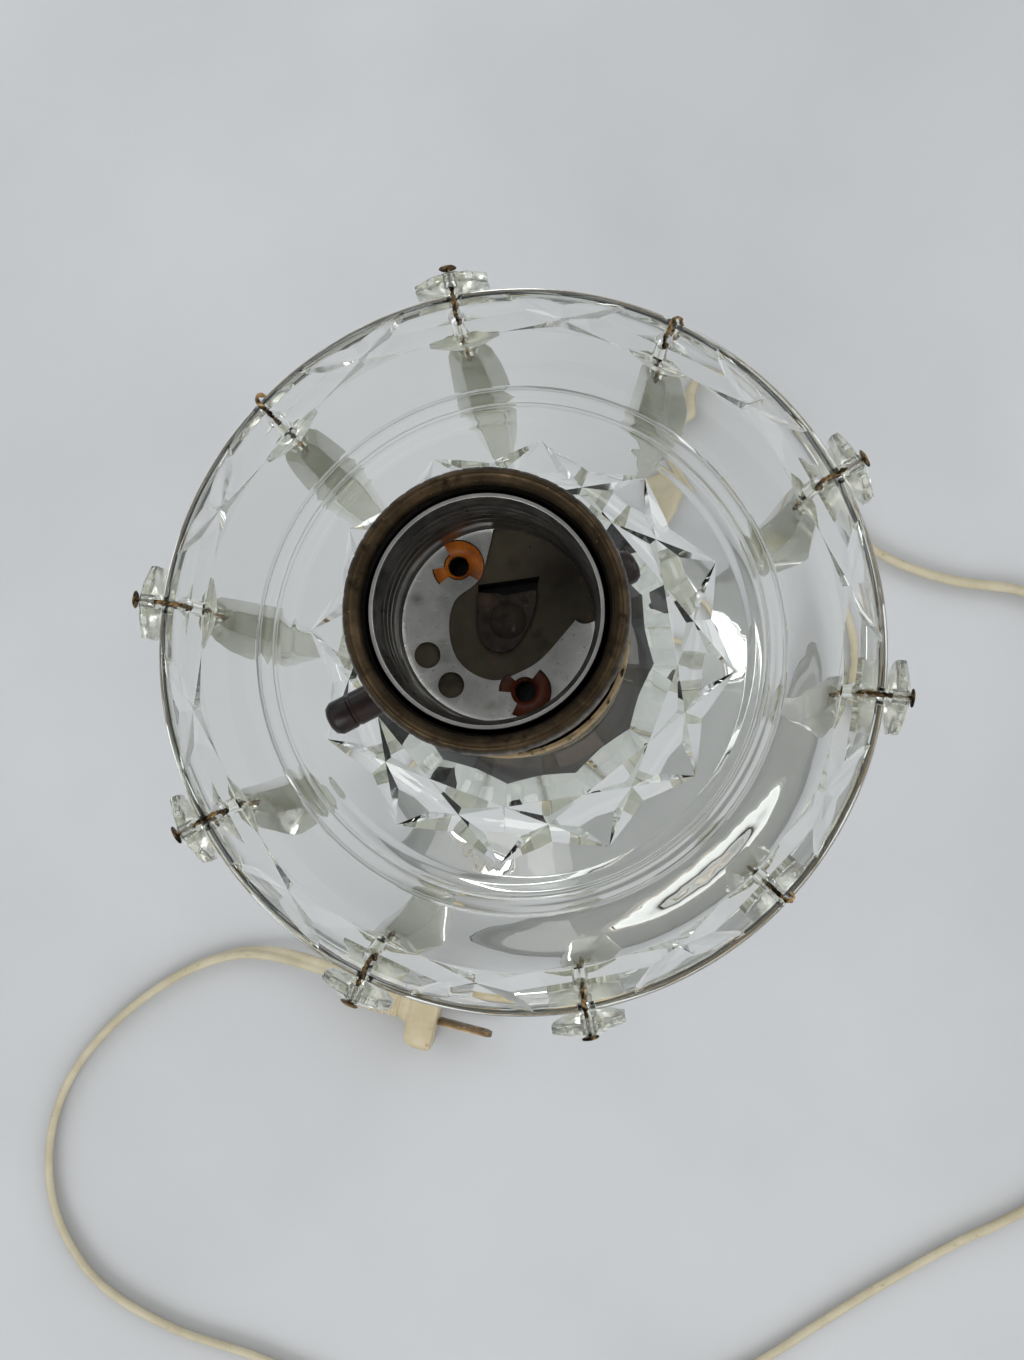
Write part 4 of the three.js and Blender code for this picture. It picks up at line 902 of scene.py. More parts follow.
@dataclass
class GlassDish:
    """The pressed dish: a flat plate with a star cut under it, a shallow bowl and a cut, drilled rim."""

    plate: float = 5.0 * MM
    flat_radius: float = 35.5 * MM
    rim_rise: float = 4.5 * MM
    rim_width: float = 6.5 * MM
    rim_thick: float = 5.4 * MM
    bore: float = PIPE_CLEAR
    star_points: int = 12
    star_skip: int = 3
    star_radius: float = 34.1 * MM
    star_angle: float = 24.4
    star_depth: float = 2.5 * MM
    star_outer: float = 4.2 * MM
    star_inner: float = 2.7 * MM
    cut_from_axis: float = 49.6 * MM
    cut_depth: float = 2.0 * MM
    cut_half: float = 2.3 * MM
    hole_in: float = RIM_HOLE_IN
    hole_radius: float = 1.3 * MM
    ridges: tuple[float, ...] = (38.9 * MM, 41.4 * MM)

    def build(self) -> None:
        """Makes the dish and dresses it."""
        low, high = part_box("glass_dish")
        self.bottom, self.radius = low.z, (high.y - low.y) / 2
        dish = lathe("dish_glass", self.outline(), 288, 16.0)
        tools = [*self.star_tools(), *self.rim_tools(), *self.hole_tools()]
        combined(dish, tools, Cut.AWAY, 14.0)
        fit_piece(dish, LAMP, "clear_glass", CLEAR_GLASS, "glass_dish")

    def outline(self) -> Outline:
        """The dish's half section.

        Returns:
            (radius, height) corners from the bore over the top and back underneath.
        """
        z, rim = self.bottom, self.rim_width
        top = z + self.plate + self.rim_rise
        inner = self.radius - rim
        under = top - self.rim_thick
        bowl = curved([
            (self.flat_radius, z + self.plate),
            (self.flat_radius + 4 * MM, z + self.plate + self.rim_rise * 0.12),
            (inner - 5 * MM, z + self.plate + self.rim_rise * 0.4),
            (inner - 0.4 * MM, top - 1.9 * MM),
        ], 10)
        edge = curved([
            (inner - 0.4 * MM, top - 1.9 * MM),
            (inner + 0.3 * MM, top - 0.3 * MM),
            (inner + 0.9 * MM, top),
            (self.radius - 2.4 * MM, top),
            (self.radius - 0.7 * MM, top - 0.9 * MM),
            (self.radius, top - 2.4 * MM),
            (self.radius - 0.5 * MM, top - 4 * MM),
            (self.radius - 2 * MM, under),
        ], 5)
        back = curved([
            (self.radius - 2 * MM, under),
            (inner - 2 * MM, under - 1.6 * MM),
            (self.flat_radius + 7 * MM, z + 0.9 * MM),
            (self.flat_radius + 1.5 * MM, z),
        ], 10)
        made = [(self.bore, z), (self.bore, z + self.plate), *self.with_ridges(bowl[:-1]), *edge[:-1], *back]
        return [tuple(point) for point in made]

    def with_ridges(self, bowl: Sequence[Vector]) -> list[Vector]:
        """Adds the faint raised rings that the mould left in the bowl.

        Args:
            bowl: the upper side's points, outward.

        Returns:
            The same points with the rings' among them.
        """
        made = [bowl[0]]
        for start, end in zip(bowl, bowl[1:]):
            for ridge in self.ridges:
                if start.x < ridge <= end.x:
                    height = start.y + (end.y - start.y) * (ridge - start.x) / (end.x - start.x)
                    for aside, lift in ((-0.35, 0.0), (0.0, 0.014), (0.35, 0.0)):
                        made.append(Vector((ridge + aside * MM, height + lift * MM)))
            made.append(end)
        return sorted(made, key=lambda point: point.x)

    def groove(
        self, name: str, half: float, depth: float, widths: tuple[float, float],
        roundness: float, spread: float = 0.0,
    ) -> bpy.types.Object:
        """A V-shaped cutter along X that fades out at both ends.

        Args:
            name: the cutter's name.
            half: half its length.
            depth: how deep it is in the middle.
            widths: how far its two sides reach from its line.
            roundness: how suddenly it fades at the ends; 1 is a straight taper.
            spread: how much flatter the second side is in the middle.

        Returns:
            The cutter.
        """
        stations, below = 24, 1.5 * MM
        sections = []
        for i in range(stations + 1):
            along = -1 + 2 * i / stations
            share = max(1 - abs(along) ** roundness, 0.002)
            first, second = widths[0] * share, widths[1] * share * (1 + spread * (1 - abs(along)))
            corners = ((-first, -below), (second, -below), (second, 0), (0, depth * share), (-first, 0))
            sections.append([Vector((along * half, y, z)) for y, z in corners])
        return loft(name, sections)

    def star_tools(self) -> list[bpy.types.Object]:
        """Makes one cutter for each of the star's lines.

        Returns:
            The cutters in their places.
        """
        step = 360 / self.star_points
        half_turn = math.radians(step / 2) * self.star_skip
        tools = []
        for i in range(self.star_points):
            tool = self.groove(
                f"star_tool_{i}", self.star_radius * math.sin(half_turn), self.star_depth,
                (self.star_outer, self.star_inner), 2.0, 0.5,
            )
            middle = self.star_angle + step * (i + self.star_skip / 2)
            off_axis = Matrix.Translation((0, -self.star_radius * math.cos(half_turn), self.bottom))
            tools.append(placed(tool, about_axis(middle + 90) @ off_axis))
        return tools

    def rim_tools(self) -> list[bpy.types.Object]:
        """Makes one cutter for each straight cut across the rim.

        Returns:
            The cutters in their places.
        """
        top = self.bottom + self.plate + self.rim_rise
        half = self.radius / 2 + 2.6 * MM
        turned = Matrix.Translation((0, -self.cut_from_axis, top)) @ Matrix.Rotation(math.pi, 4, "X")
        tools = []
        for i in range(DROPS):
            tool = self.groove(f"rim_tool_{i}", half, self.cut_depth, (self.cut_half, self.cut_half), 2.4)
            tools.append(placed(tool, about_axis(drop_angle(i) + 90) @ turned))
        return tools

    def hole_tools(self) -> list[bpy.types.Object]:
        """Makes one drill for each drop's hole.

        Returns:
            The drills in their places.
        """
        low, high = self.bottom - MM, self.bottom + 12 * MM
        drill = [(0, low), (self.hole_radius, low), (self.hole_radius, high), (0, high)]
        tools = []
        for i in range(DROPS):
            at = polar(self.radius - self.hole_in, drop_angle(i))
            tools.append(placed(lathe(f"drill_{i}", drill, 24), Matrix.Translation(at)))
        return tools


@dataclass
class GlassStem:
    """The turned column and the foot, both clear glass on the pipe."""

    bore: float = PIPE_CLEAR

    def build(self) -> None:
        """Makes the column and the foot and dresses them."""
        self.make_column()
        self.make_foot()

    def make_column(self) -> None:
        """Turns the column: collar, vase, waist, ball, neck and flange."""
        low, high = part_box("glass_column")
        z, height = low.z, high.z - low.z
        ball_radius = 27 * MM
        ball_z = z + height - 41 * MM
        ball = [
            (ball_radius * math.cos(math.radians(tilt)), ball_z + ball_radius * math.sin(math.radians(tilt)))
            for tilt in range(-68, 60, 6)
        ]
        stem = curved([
            (12 * MM, z + 6 * MM), (14 * MM, z + height * 0.08), (18 * MM, z + height * 0.19),
            (13 * MM, z + height * 0.33), (8.6 * MM, z + height * 0.46), (8.6 * MM, z + height * 0.6),
            ball[0],
        ], 8)
        neck = curved([
            ball[-1], (13 * MM, ball_z + ball_radius * 0.92), (13 * MM, z + height - 9 * MM),
            (15 * MM, z + height - 4 * MM), (17 * MM, z + height - 1.5 * MM),
        ], 6)
        outline = [
            (self.bore, z), (14 * MM, z), (14.7 * MM, z + 0.3 * MM), (15 * MM, z + MM), (15 * MM, z + 3 * MM),
            (14.2 * MM, z + 4.4 * MM), *map(tuple, stem), *ball[1:-1], *map(tuple, neck),
            (17 * MM, z + height), (self.bore, z + height),
        ]
        column = lathe("column_glass", outline, 160, 50.0)
        fit_piece(column, LAMP, "clear_glass", CLEAR_GLASS, "glass_column")

    def make_foot(self) -> None:
        """Turns the domed foot with its recess, and mills the lead's slot."""
        low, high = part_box("glass_foot")
        radius, height = (high.x - low.x) / 2, high.z - low.z
        edge = 6 * MM
        dome = curved([
            (radius - 2.2 * MM, edge + 1.6 * MM), (radius * 0.8, edge + (height - edge) * 0.2),
            (radius * 0.55, edge + (height - edge) * 0.4), (radius * 0.36, edge + (height - edge) * 0.68),
            (16 * MM, height - 2 * MM),
        ], 8)
        rim = curved([
            (radius - 1.2 * MM, 0), (radius - 0.2 * MM, 0.5 * MM), (radius, 1.4 * MM),
            (radius, edge - 1.5 * MM), (radius - 0.7 * MM, edge + 0.3 * MM),
            (radius - 2.2 * MM, edge + 1.6 * MM),
        ], 4)
        inside = curved([
            (15 * MM, 18 * MM), (22 * MM, 16.2 * MM), (34 * MM, 10.8 * MM), (47 * MM, 6.6 * MM),
            (53.5 * MM, 3.6 * MM), (55 * MM, 0.6 * MM), (55.6 * MM, 0),
        ], 6)
        outline = [
            *map(tuple, rim[:-1]), *map(tuple, dome), (15 * MM, height),
            (self.bore, height), (self.bore, 18 * MM), *map(tuple, inside),
        ]
        foot = lathe("foot_glass", outline, 224, 50.0)
        section = in_mm((-3, -1), (3, -1), (3, 4.6), (-3, 4.6))
        slot = loft("slot_tool", [[Vector((x, y, z)) for y, z in section] for x in (0, radius + 5 * MM)])
        combined(foot, [placed(slot, about_axis(60))], Cut.AWAY, 40.0)
        fit_piece(foot, LAMP, "clear_glass", CLEAR_GLASS, "glass_foot")


# The cord and its plug


@dataclass
class MainsLead:
    """The flat twin lead: from the foot's slot round to the stored coil, and on to the plug.

    Between its ends and the coil the lead rolls nearly on to its edge and sways; each sway is an amount in
    radians, a length and a phase.
    """

    width: float = 4.6 * MM
    thick: float = 2.4 * MM
    lying: float = 1.25 * MM
    slot_angle: float = 60.0
    slot_end: float = 60.8 * MM
    foot_radius: float = 63.5 * MM
    coil_centre: tuple[float, float] = (176 * MM, -55 * MM)
    coil_outer: float = 34 * MM
    coil_pitch: float = 5.1 * MM
    coil_turns: float = 6.5
    coil_bend: float = 0.75
    coil_layer: float = 2.95 * MM
    on_edge: float = 1.38
    sways: tuple[Triple, ...] = ((0.14, 34 * MM, 0.0), (0.06, 14.5 * MM, 1.0))
    rolls_within: float = 40 * MM
    plug_face: tuple[float, float] = (-34.9 * MM, -85.3 * MM)
    plug_angle: float = -13.9
    plug_length: float = 30 * MM
    plug_height: float = 7.6 * MM

    def build(self) -> None:
        """Makes the lead, the plug and its blades."""
        route = self.route()
        turns = self.roll(route)
        for point, turn in zip(route, turns):
            point.z += (self.width - self.thick) / 2 * abs(math.sin(turn))
        upward = Vector((0, 0, 1))
        lead = sweep("mains_lead", route, self.section(), upward, lambda index: turns[index], sharp=35.0)
        fit_piece(lead, LAMP, "cream_lead", CREAM_LEAD, "cord_lamp_side", "cord_coil", "cord_plug_side")
        plug = self.make_plug()
        blades = [self.make_blade(number, side) for number, side in ((1, 1), (2, -1))]

    def coil_point(self, turn: float) -> Vector:
        """A point of the coil, in on the table, up at the reversing bend and out again on top.

        Args:
            turn: how many turns along the coil it is.

        Returns:
            The point.
        """
        half = (self.coil_turns - 0.5) / 2
        reversing = min(max((turn - half) / 0.5, 0.0), 1.0)
        inward = min(turn, half) - max(turn - half - 0.5, 0.0)
        bend = self.coil_bend * (1 - math.cos(2 * math.pi * reversing)) / 2
        radius = self.coil_outer - self.coil_pitch * (inward + bend)
        angle = math.pi / 2 - 2 * math.pi * turn
        share = min(max((reversing - 0.15) / 0.7, 0.0), 1.0)
        height = self.lying + self.coil_layer * share * share * (3 - 2 * share)
        x, y = self.coil_centre
        return Vector((x + radius * math.cos(angle), y + radius * math.sin(angle), height))

    def route(self) -> list[Vector]:
        """The lead's centreline.

        Returns:
            Points from the foot's slot to the plug, a few millimetres apart.
        """
        start, end = self.coil_point(0.0), self.coil_point(self.coil_turns)
        onward = (self.coil_point(0.001) - start).normalized()
        leaving = (end - self.coil_point(self.coil_turns - 0.001)).normalized()
        lamp_side = [
            polar(self.slot_end, self.slot_angle, self.lying),
            polar(self.foot_radius + 2.5 * MM, self.slot_angle, self.lying),
            *self.flat([
                (30.4, 67.8), (30.7, 80), (37, 90.5), (49, 93), (60, 86), (67.5, 74), (75.5, 58.5),
                (90.8, 43.5), (111.3, 35.5), (132.3, 32), (146, 24), (151.5, 9), (153, -7), (160, -17.5),
            ]),
            start - onward * 9.6 * MM,
            start - onward * 4.6 * MM,
        ]
        plug_side = [
            end + leaving * 4.6 * MM,
            end + leaving * 10.6 * MM,
            *self.flat([
                (158, -96.5, 1.9), (151.5, -102, 0.8), (146.5, -110, 0.15), (143.5, -125), (137, -138.5),
                (123, -147.5), (112.1, -152.6), (89.5, -165.7), (72.5, -176.4), (55.5, -187.4), (33, -199),
                (3, -208), (-30, -209), (-62, -199.5), (-90.1, -189.2), (-115.2, -181.4), (-137.1, -168.3),
                (-149, -150), (-151.5, -130), (-145.8, -110.7), (-132, -93.5), (-112.8, -79.5),
                (-97, -73.6, 0.3), (-86, -73.2, 1.6),
            ]),
            self.on_plug(-self.plug_length - 9 * MM, 0, -2.2 * MM),
            self.on_plug(-self.plug_length - 4 * MM, 0, -0.3 * MM),
            self.on_plug(-self.plug_length - 0.3 * MM, 0, 0),
        ]
        steps = 36
        turns = [self.coil_point(k / steps) for k in range(round(self.coil_turns * steps) + 1)]
        return [*curved(lamp_side, 6), *turns, *curved(plug_side, 8)]

    def flat(self, points: Sequence[Sequence[float]]) -> list[Vector]:
        """Points on the table from (x, y) or (x, y, lift) in millimetres."""
        lifted = [(*point, 0.0)[:3] for point in points]
        return [Vector((x * MM, y * MM, self.lying + lift * MM)) for x, y, lift in lifted]

    def section(self) -> Outline:
        """The figure of two round cores side by side with a shallow groove between them.

        Returns:
            (across, up) corners about the lead's middle.
        """
        radius = self.thick / 2
        core = self.width / 2 - radius
        arc = [math.radians(degrees) for degrees in range(-125, 126, 25)]
        right = [(core + radius * math.cos(a), radius * math.sin(a)) for a in arc]
        left = [(-x, -y) for x, y in right]
        return [*right, (0, radius * 0.72), *left, (0, -radius * 0.72)]

    def roll(self, route: Sequence[Vector]) -> list[float]:
        """How far the flat lead has rolled on to its edge at each point of its route.

        Args:
            route: the centreline.

        Returns:
            Radians at each point, nothing at both ends and in the coil.
        """
        run = [0.0]
        for a, b in zip(route, route[1:]):
            run.append(run[-1] + (b - a).length)
        reach = self.coil_outer + 6 * MM
        x, y = self.coil_centre
        in_coil = [max(abs(point.x - x), abs(point.y - y)) < reach for point in route]
        first, last = in_coil.index(True), len(in_coil) - 1 - in_coil[::-1].index(True)
        stops = (0.0, run[first], run[last], run[-1])
        turns = []
        for at in run:
            away = min(abs(at - stop) for stop in stops)
            free = 0.0 if run[first] <= at <= run[last] else min(away / self.rolls_within, 1.0)
            sway = sum(amount * math.sin(at / length + phase) for amount, length, phase in self.sways)
            turns.append(free * free * (3 - 2 * free) * (self.on_edge + sway))
        return turns

    def on_plug(self, along: float, across: float, up: float) -> Vector:
        """A point given from the middle of the plug's face."""
        return self.plug_place() @ Vector((along, across, up))

    def plug_place(self) -> Matrix:
        """Where the plug's own axes lie."""
        return Matrix.Translation((*self.plug_face, self.plug_height)) @ about_axis(self.plug_angle)

    def make_plug(self) -> bpy.types.Object:
        """Moulds the plug: a broad face block, a narrower grip with ribs and a ringed tail.

        Returns:
            The plug.
        """
        stations = [
            (0.0, 14.2, 6.7), (-0.35, 14.8, 7.3), (-1.0, 15.0, 7.5), (-4.6, 15.0, 7.5), (-6.4, 14.7, 7.4),
            (-7.5, 14.0, 7.1), (-8.1, 13.0, 6.7), (-8.4, 11.4, 6.4), (-8.6, 9.6, 6.2), (-9.2, 8.5, 6.05),
        ]
        for k in range(7):
            start = -10.2 - 1.9 * k
            stations += [(start, 8.0, 6.0), (start - 0.5, 7.6, 5.6)]
            stations += [(start - 1.2, 7.6, 5.6), (start - 1.6, 8.0, 6.0)]
        stations += [(-23.6, 7.8, 5.9), (-25.4, 6.4, 5.2), (-26.6, 4.9, 4.6), (-27.2, 4.1, 4.2)]
        for k in range(2):
            start = -27.6 - 1.1 * k
            stations += [(start, 3.6, 3.7), (start - 0.4, 3.6, 3.7), (start - 0.7, 4.0, 4.1)]
        stations.append((-30.0, 3.8, 3.9))
        sections = []
        for along, wide, high in stations:
            power = 2 / (2 + 5.0 * min(1.0, (wide + 2) / 10))
            ring = []
            for c, s in circle(1.0, 48):
                across = wide * MM * math.copysign(abs(c) ** power, c)
                up = high * MM * math.copysign(abs(s) ** power, s)
                ring.append(Vector((along * MM, across, up)))
            sections.append(ring)
        plug = placed(loft("plug_moulding", sections, 38.0), self.plug_place())
        fit_piece(plug, LAMP, "cream_plug", CREAM_PLUG, "plug_body")
        return plug

    def make_blade(self, number: int, side: int) -> bpy.types.Object:
        """Stamps one blade, with its rounded end and its hole.

        Args:
            number: the blade's number.
            side: the side of the plug's middle that it is on, 1 or -1.

        Returns:
            The blade.
        """
        half, length, thick, rounding = 3.175 * MM, 16 * MM, 1.5 * MM, 2.4 * MM
        angles = [math.radians(degrees) for degrees in range(-90, 91, 15)]
        end = [(length - rounding + rounding * math.cos(a), half * math.sin(a)) for a in angles]
        outline = [(0.2 * MM, -half), *end, (0.2 * MM, half)]
        blade = prism(f"blade_{number}", outline, -thick / 2, thick / 2)
        drill = prism("blade_drill", circle(1.75 * MM, 32), -thick, thick)
        placed(drill, Matrix.Translation((length - 4.2 * MM, 0, 0)))
        combined(blade, [drill], Cut.AWAY, 30.0)
        bevelled(blade, 0.18 * MM, 2, 30.0)
        upright = Matrix.Translation((0, side * 6.35 * MM, 0)) @ Matrix.Rotation(math.pi / 2, 4, "X")
        placed(blade, self.plug_place() @ upright)
        fit_piece(blade, LAMP, "blade_brass", BLADE_BRASS, f"plug_blade_{number}")
        return blade


# The pipe that holds the stack


@dataclass
class PipeAndFixings:
    """The threaded pipe with its washer, nut and two soft gaskets."""

    radius: float = 4.9 * MM
    bore: float = 3.4 * MM
    pitch: float = 0.94 * MM
    clear: float = PIPE_CLEAR

    def build(self) -> None:
        """Makes and dresses each piece."""
        self.make_pipe()
        self.make_flat_ring("foot_washer", "zinced_washer", 12.5 * MM, STEEL, "steel")
        self.make_flat_ring("foot_gasket", "soft_foot_gasket", 13.5 * MM, GASKET, "rubber")
        self.make_flat_ring("dish_gasket", "soft_dish_gasket", 13.5 * MM, GASKET, "rubber")
        self.make_nut()

    def make_pipe(self) -> None:
        """Turns the pipe with its fine thread."""
        low, high = (corner.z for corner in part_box("threaded_pipe"))
        ease = 0.4 * MM
        outline = [(self.bore, low), (self.radius - ease, low), (self.radius, low + ease)]
        turns = int((high - low - 2 * ease) / self.pitch)
        for k in range(turns):
            z = low + ease + self.pitch * k
            outline += [(self.radius, z + 0.12 * MM), (self.radius - 0.42 * MM, z + self.pitch / 2)]
        outline += [(self.radius, high - ease), (self.radius - ease, high), (self.bore, high)]
        pipe = lathe("lamp_pipe", outline, 40, 20.0)
        fit_piece(pipe, LAMP, "steel", STEEL, "threaded_pipe")

    def make_flat_ring(self, node: str, name: str, radius: float, finish: Finish, slot: str) -> None:
        """Makes one flat ring with eased edges in a node's place.

        Args:
            node: the solid that it stands for.
            name: the piece's name.
            radius: its outer radius.
            finish: its looks.
            slot: the record's slot.
        """
        low, high = (corner.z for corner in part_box(node))
        ease = (high - low) * 0.25
        outline = [
            (self.clear + ease, low), (radius - ease, low), (radius, low + ease), (radius, high - ease),
            (radius - ease, high), (self.clear + ease, high), (self.clear, high - ease),
            (self.clear, low + ease),
        ]
        fit_piece(lathe(name, outline, 96, 25.0), LAMP, slot, finish, node)

    def make_nut(self) -> None:
        """Makes the hexagon nut with chamfered corners."""
        low, high = (corner.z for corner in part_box("foot_nut"))
        corner_radius = 14.3 * MM / math.sqrt(3)
        nut = prism("hexagon_nut", circle(corner_radius, 6), low, high)
        ease = 0.7 * MM
        inside, outside = corner_radius - ease, corner_radius + ease
        cone = lathe("nut_cone", [
            (0, low), (inside, low), (outside, low + ease), (outside, high - ease), (inside, high), (0, high),
        ], 96)
        combined(nut, [cone], Cut.COMMON, 20.0)
        drill = lathe("nut_drill", [
            (0, low - MM), (self.clear, low - MM), (self.clear, high + MM), (0, high + MM),
        ], 64)
        combined(nut, [drill], Cut.AWAY, 20.0)
        fit_piece(nut, LAMP, "steel", STEEL, "foot_nut")


# The ten drops


@dataclass
class HangingDrops:
    """Ten wire pins in the rim's holes, with an octagon at the rim and a spear on a hook below."""

    bare_pins: tuple[int, ...] = (2, 4, 9)
    hole_in: float = RIM_HOLE_IN
    beyond_rim: float = 2.0 * MM
    shank_below_rim: float = 0.6 * MM
    hook_below_rim: float = 8.8 * MM
    wire: float = 0.35 * MM
    strand_radius: float = 0.21 * MM
    strand_off: float = 0.19 * MM
    twist: float = 2.6 * MM
    across: float = 11.6 * MM
    thick: float = 3.8 * MM
    edge_thick: float = 1.2 * MM
    table_across: float = 4.6 * MM
    hole: float = 1.1 * MM
    hole_from_edge: float = 2.1 * MM
    hang_gap: float = 0.1 * MM
    link_width: float = 4.6 * MM
    link_height: float = 3.4 * MM
    spear_length: float = 96 * MM
    spear_size: tuple[float, float] = (11.6 * MM, 7.4 * MM)
    spear_top: tuple[float, float] = (5.6 * MM, 3.4 * MM)
    widest_at: float = 0.45

    def build(self) -> None:
        """Makes every drop at its place round the rim."""
        low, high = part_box("glass_dish")
        self.rim_top, self.dish = high.z, (high.y - low.y) / 2
        self.shank = self.rim_top - self.shank_below_rim
        self.hook = self.rim_top - self.hook_below_rim
        self.out = self.dish + self.beyond_rim
        self.inner = self.dish - self.hole_in
        self.below_wire = self.hole - self.wire - self.hang_gap + self.across / 2 - self.hole_from_edge
        self.link = self.hook - self.below_wire - self.across / 2 + self.hole_from_edge
        for number in range(1, DROPS + 1):
            place = about_axis(drop_angle(number - 1))
            bare = number in self.bare_pins
            self.make_pin(number, place, bare)
            self.make_bead(number, place, bare)
            self.make_spear(number, place, bare)

    def twisted(self, name: str, path: Sequence[Sequence[float]]) -> bpy.types.Object:
        """Winds two thin strands round each other along a path.

        Args:
            name: the piece's name.
            path: (outward, up) or (outward, along the rim, up) points.

        Returns:
            The twisted wire, with the drop's outward direction along X.
        """
        points = curved([(p[0], p[1] if len(p) > 2 else 0.0, p[-1]) for p in path], 9)
        phase, thick = random.uniform(0, 6), random.uniform(0, 6)
        strands = []
        for start in (0.0, math.pi):
            wound, run = [], 0.0
            for index, point in enumerate(points):
                ahead = points[min(index + 1, len(points) - 1)] - points[max(index - 1, 0)]
                ahead.normalize()
                side = Vector((0, 1, 0))
                across = ahead.cross(side).normalized()
                angle = start + phase + 2 * math.pi * run / self.twist
                wound.append(point + (side * math.sin(angle) + across * math.cos(angle)) * self.strand_off)
                run += (points[min(index + 1, len(points) - 1)] - point).length
            strands.append(sweep(
                name, wound, circle(self.strand_radius, 10), Vector((0, 1, 0)), sharp=60.0,
                size=lambda index: 1 + 0.16 * math.sin(index * 0.31 + thick),
            ))
        return merged(name, strands)

    def pin_path(self) -> list[tuple[float, float]]:
        """From the rim's edge over its top, down the hole and round the hook.

        Returns:
            (outward, up) points.
        """
        over = self.rim_top + self.wire + 0.3 * MM
        hole = self.inner + 0.576 * MM
        return [
            (hole + 1.8 * MM, over + 0.1 * MM), (hole + 0.8 * MM, over), (hole + 0.15 * MM, over - 0.35 * MM),
            (hole, over - 1.1 * MM), (hole, self.rim_top - 6.4 * MM),
            (self.inner + 1.9 * MM, self.hook + 1.5 * MM), (self.inner + 2.2 * MM, self.hook + 0.6 * MM),
            (self.inner + 1.7 * MM, self.hook), (self.inner - 1.7 * MM, self.hook),
            (self.inner - 2.3 * MM, self.hook + 0.6 * MM),
        ]

    def make_pin(self, number: int, place: Matrix, bare: bool) -> None:
        """Bends one pin, with a flattened head, or with a curled tail where its octagon is gone.

        Args:
            number: the drop's number.
            place: the turn that takes it round the rim.
            bare: whether the octagon at the rim is gone.
        """
        if bare:
            curl = random.choice((-1, 1))
            tail = self.inner + 3.4 * MM
            start = [
                (tail - 0.2 * MM, curl * 1.5 * MM, self.rim_top + 1.2 * MM),
                (tail + 0.5 * MM, curl * 0.9 * MM, self.rim_top + 1.6 * MM),
                (tail + 0.3 * MM, curl * 0.2 * MM, self.rim_top + 1.3 * MM),
            ]
            parts = [self.twisted("pin_wire", start + self.pin_path())]
        else:
            head_at = self.out + self.thick / 2 - 0.2 * MM
            start = [
                (head_at, self.shank), (self.dish + 0.9 * MM, self.shank),
                (self.dish - 0.3 * MM, self.shank + 0.5 * MM),
                (self.dish - 1.8 * MM, self.rim_top + self.wire + 0.3 * MM),
            ]
            parts = [self.twisted("pin_wire", start + self.pin_path()[1:])]
            button = in_mm((0, 0), (1.25, 0), (1.4, 0.15), (1.25, 0.36), (0.6, 0.5), (0, 0.52))
            wobble = random.uniform(0, 6)
            head = lathe(
                "pin_head", button, 24, 40.0,
                lambda radius, height, angle: 0.1 * radius * math.sin(3 * angle + wobble) * math.sin(angle),
            )
            parts.append(placed(head, Matrix.Translation((head_at, 0, self.shank)) @ ALONG_X))
        pin = merged(f"pin_{number}", [placed(part, place) for part in parts])
        fit_piece(pin, LAMP, "drop_wire", DROP_WIRE, f"hanger_pin_{number}")

    def octagon(self, name: str, x: float, z: float) -> bpy.types.Object:
        """Cuts one octagon: a table, eight main and sixteen small facets on each side, and two holes.

        Args:
            name: the piece's name.
            x: how far out its middle is.
            z: the height of its middle.

        Returns:
            The octagon, with the drop's outward direction along X.
        """
        to_corner = 1 / math.cos(math.pi / 8)
        corners = []
        for side in (-1, 1):
            for radius, half, offset in (
                (self.across / 2 * to_corner, self.edge_thick / 2, 0.5),
                (self.across / 2 * 0.84, self.edge_thick / 2 + (self.thick - self.edge_thick) * 0.225, 0.0),
                (self.table_across / 2 * to_corner, self.thick / 2, 0.5),
            ):
                for k in range(8):
                    angle = 2 * math.pi * (k + offset) / 8
                    corners.append((side * half, radius * math.cos(angle), radius * math.sin(angle)))
        bead = hull(name, corners, 0.1 * MM)
        reach = self.across / 2 - self.hole_from_edge
        drills = []
        for side in (-1, 1):
            drill = prism("bead_drill", circle(self.hole, 20), -self.thick, self.thick)
            drills.append(placed(drill, Matrix.Translation((0, 0, side * reach)) @ ALONG_X))
        combined(bead, drills, Cut.AWAY, 20.0)
        return placed(bead, Matrix.Translation((x, 0, z)))

    def make_bead(self, number: int, place: Matrix, bare: bool) -> None:
        """Makes the octagon of one drop: at the rim, or on the hook of a bare pin.

        Args:
            number: the drop's number.
            place: the turn that takes it round the rim.
            bare: whether the octagon at the rim is gone.
        """
        node = f"octagon_bead_{number}"
        x, wire = (self.inner, self.hook) if bare else (self.out, self.shank)
        bead = self.octagon(f"octagon_{number}", x, wire - self.below_wire)
        placed(bead, place)
        fit_piece(bead, node, "drop_glass", DROP_GLASS, node)

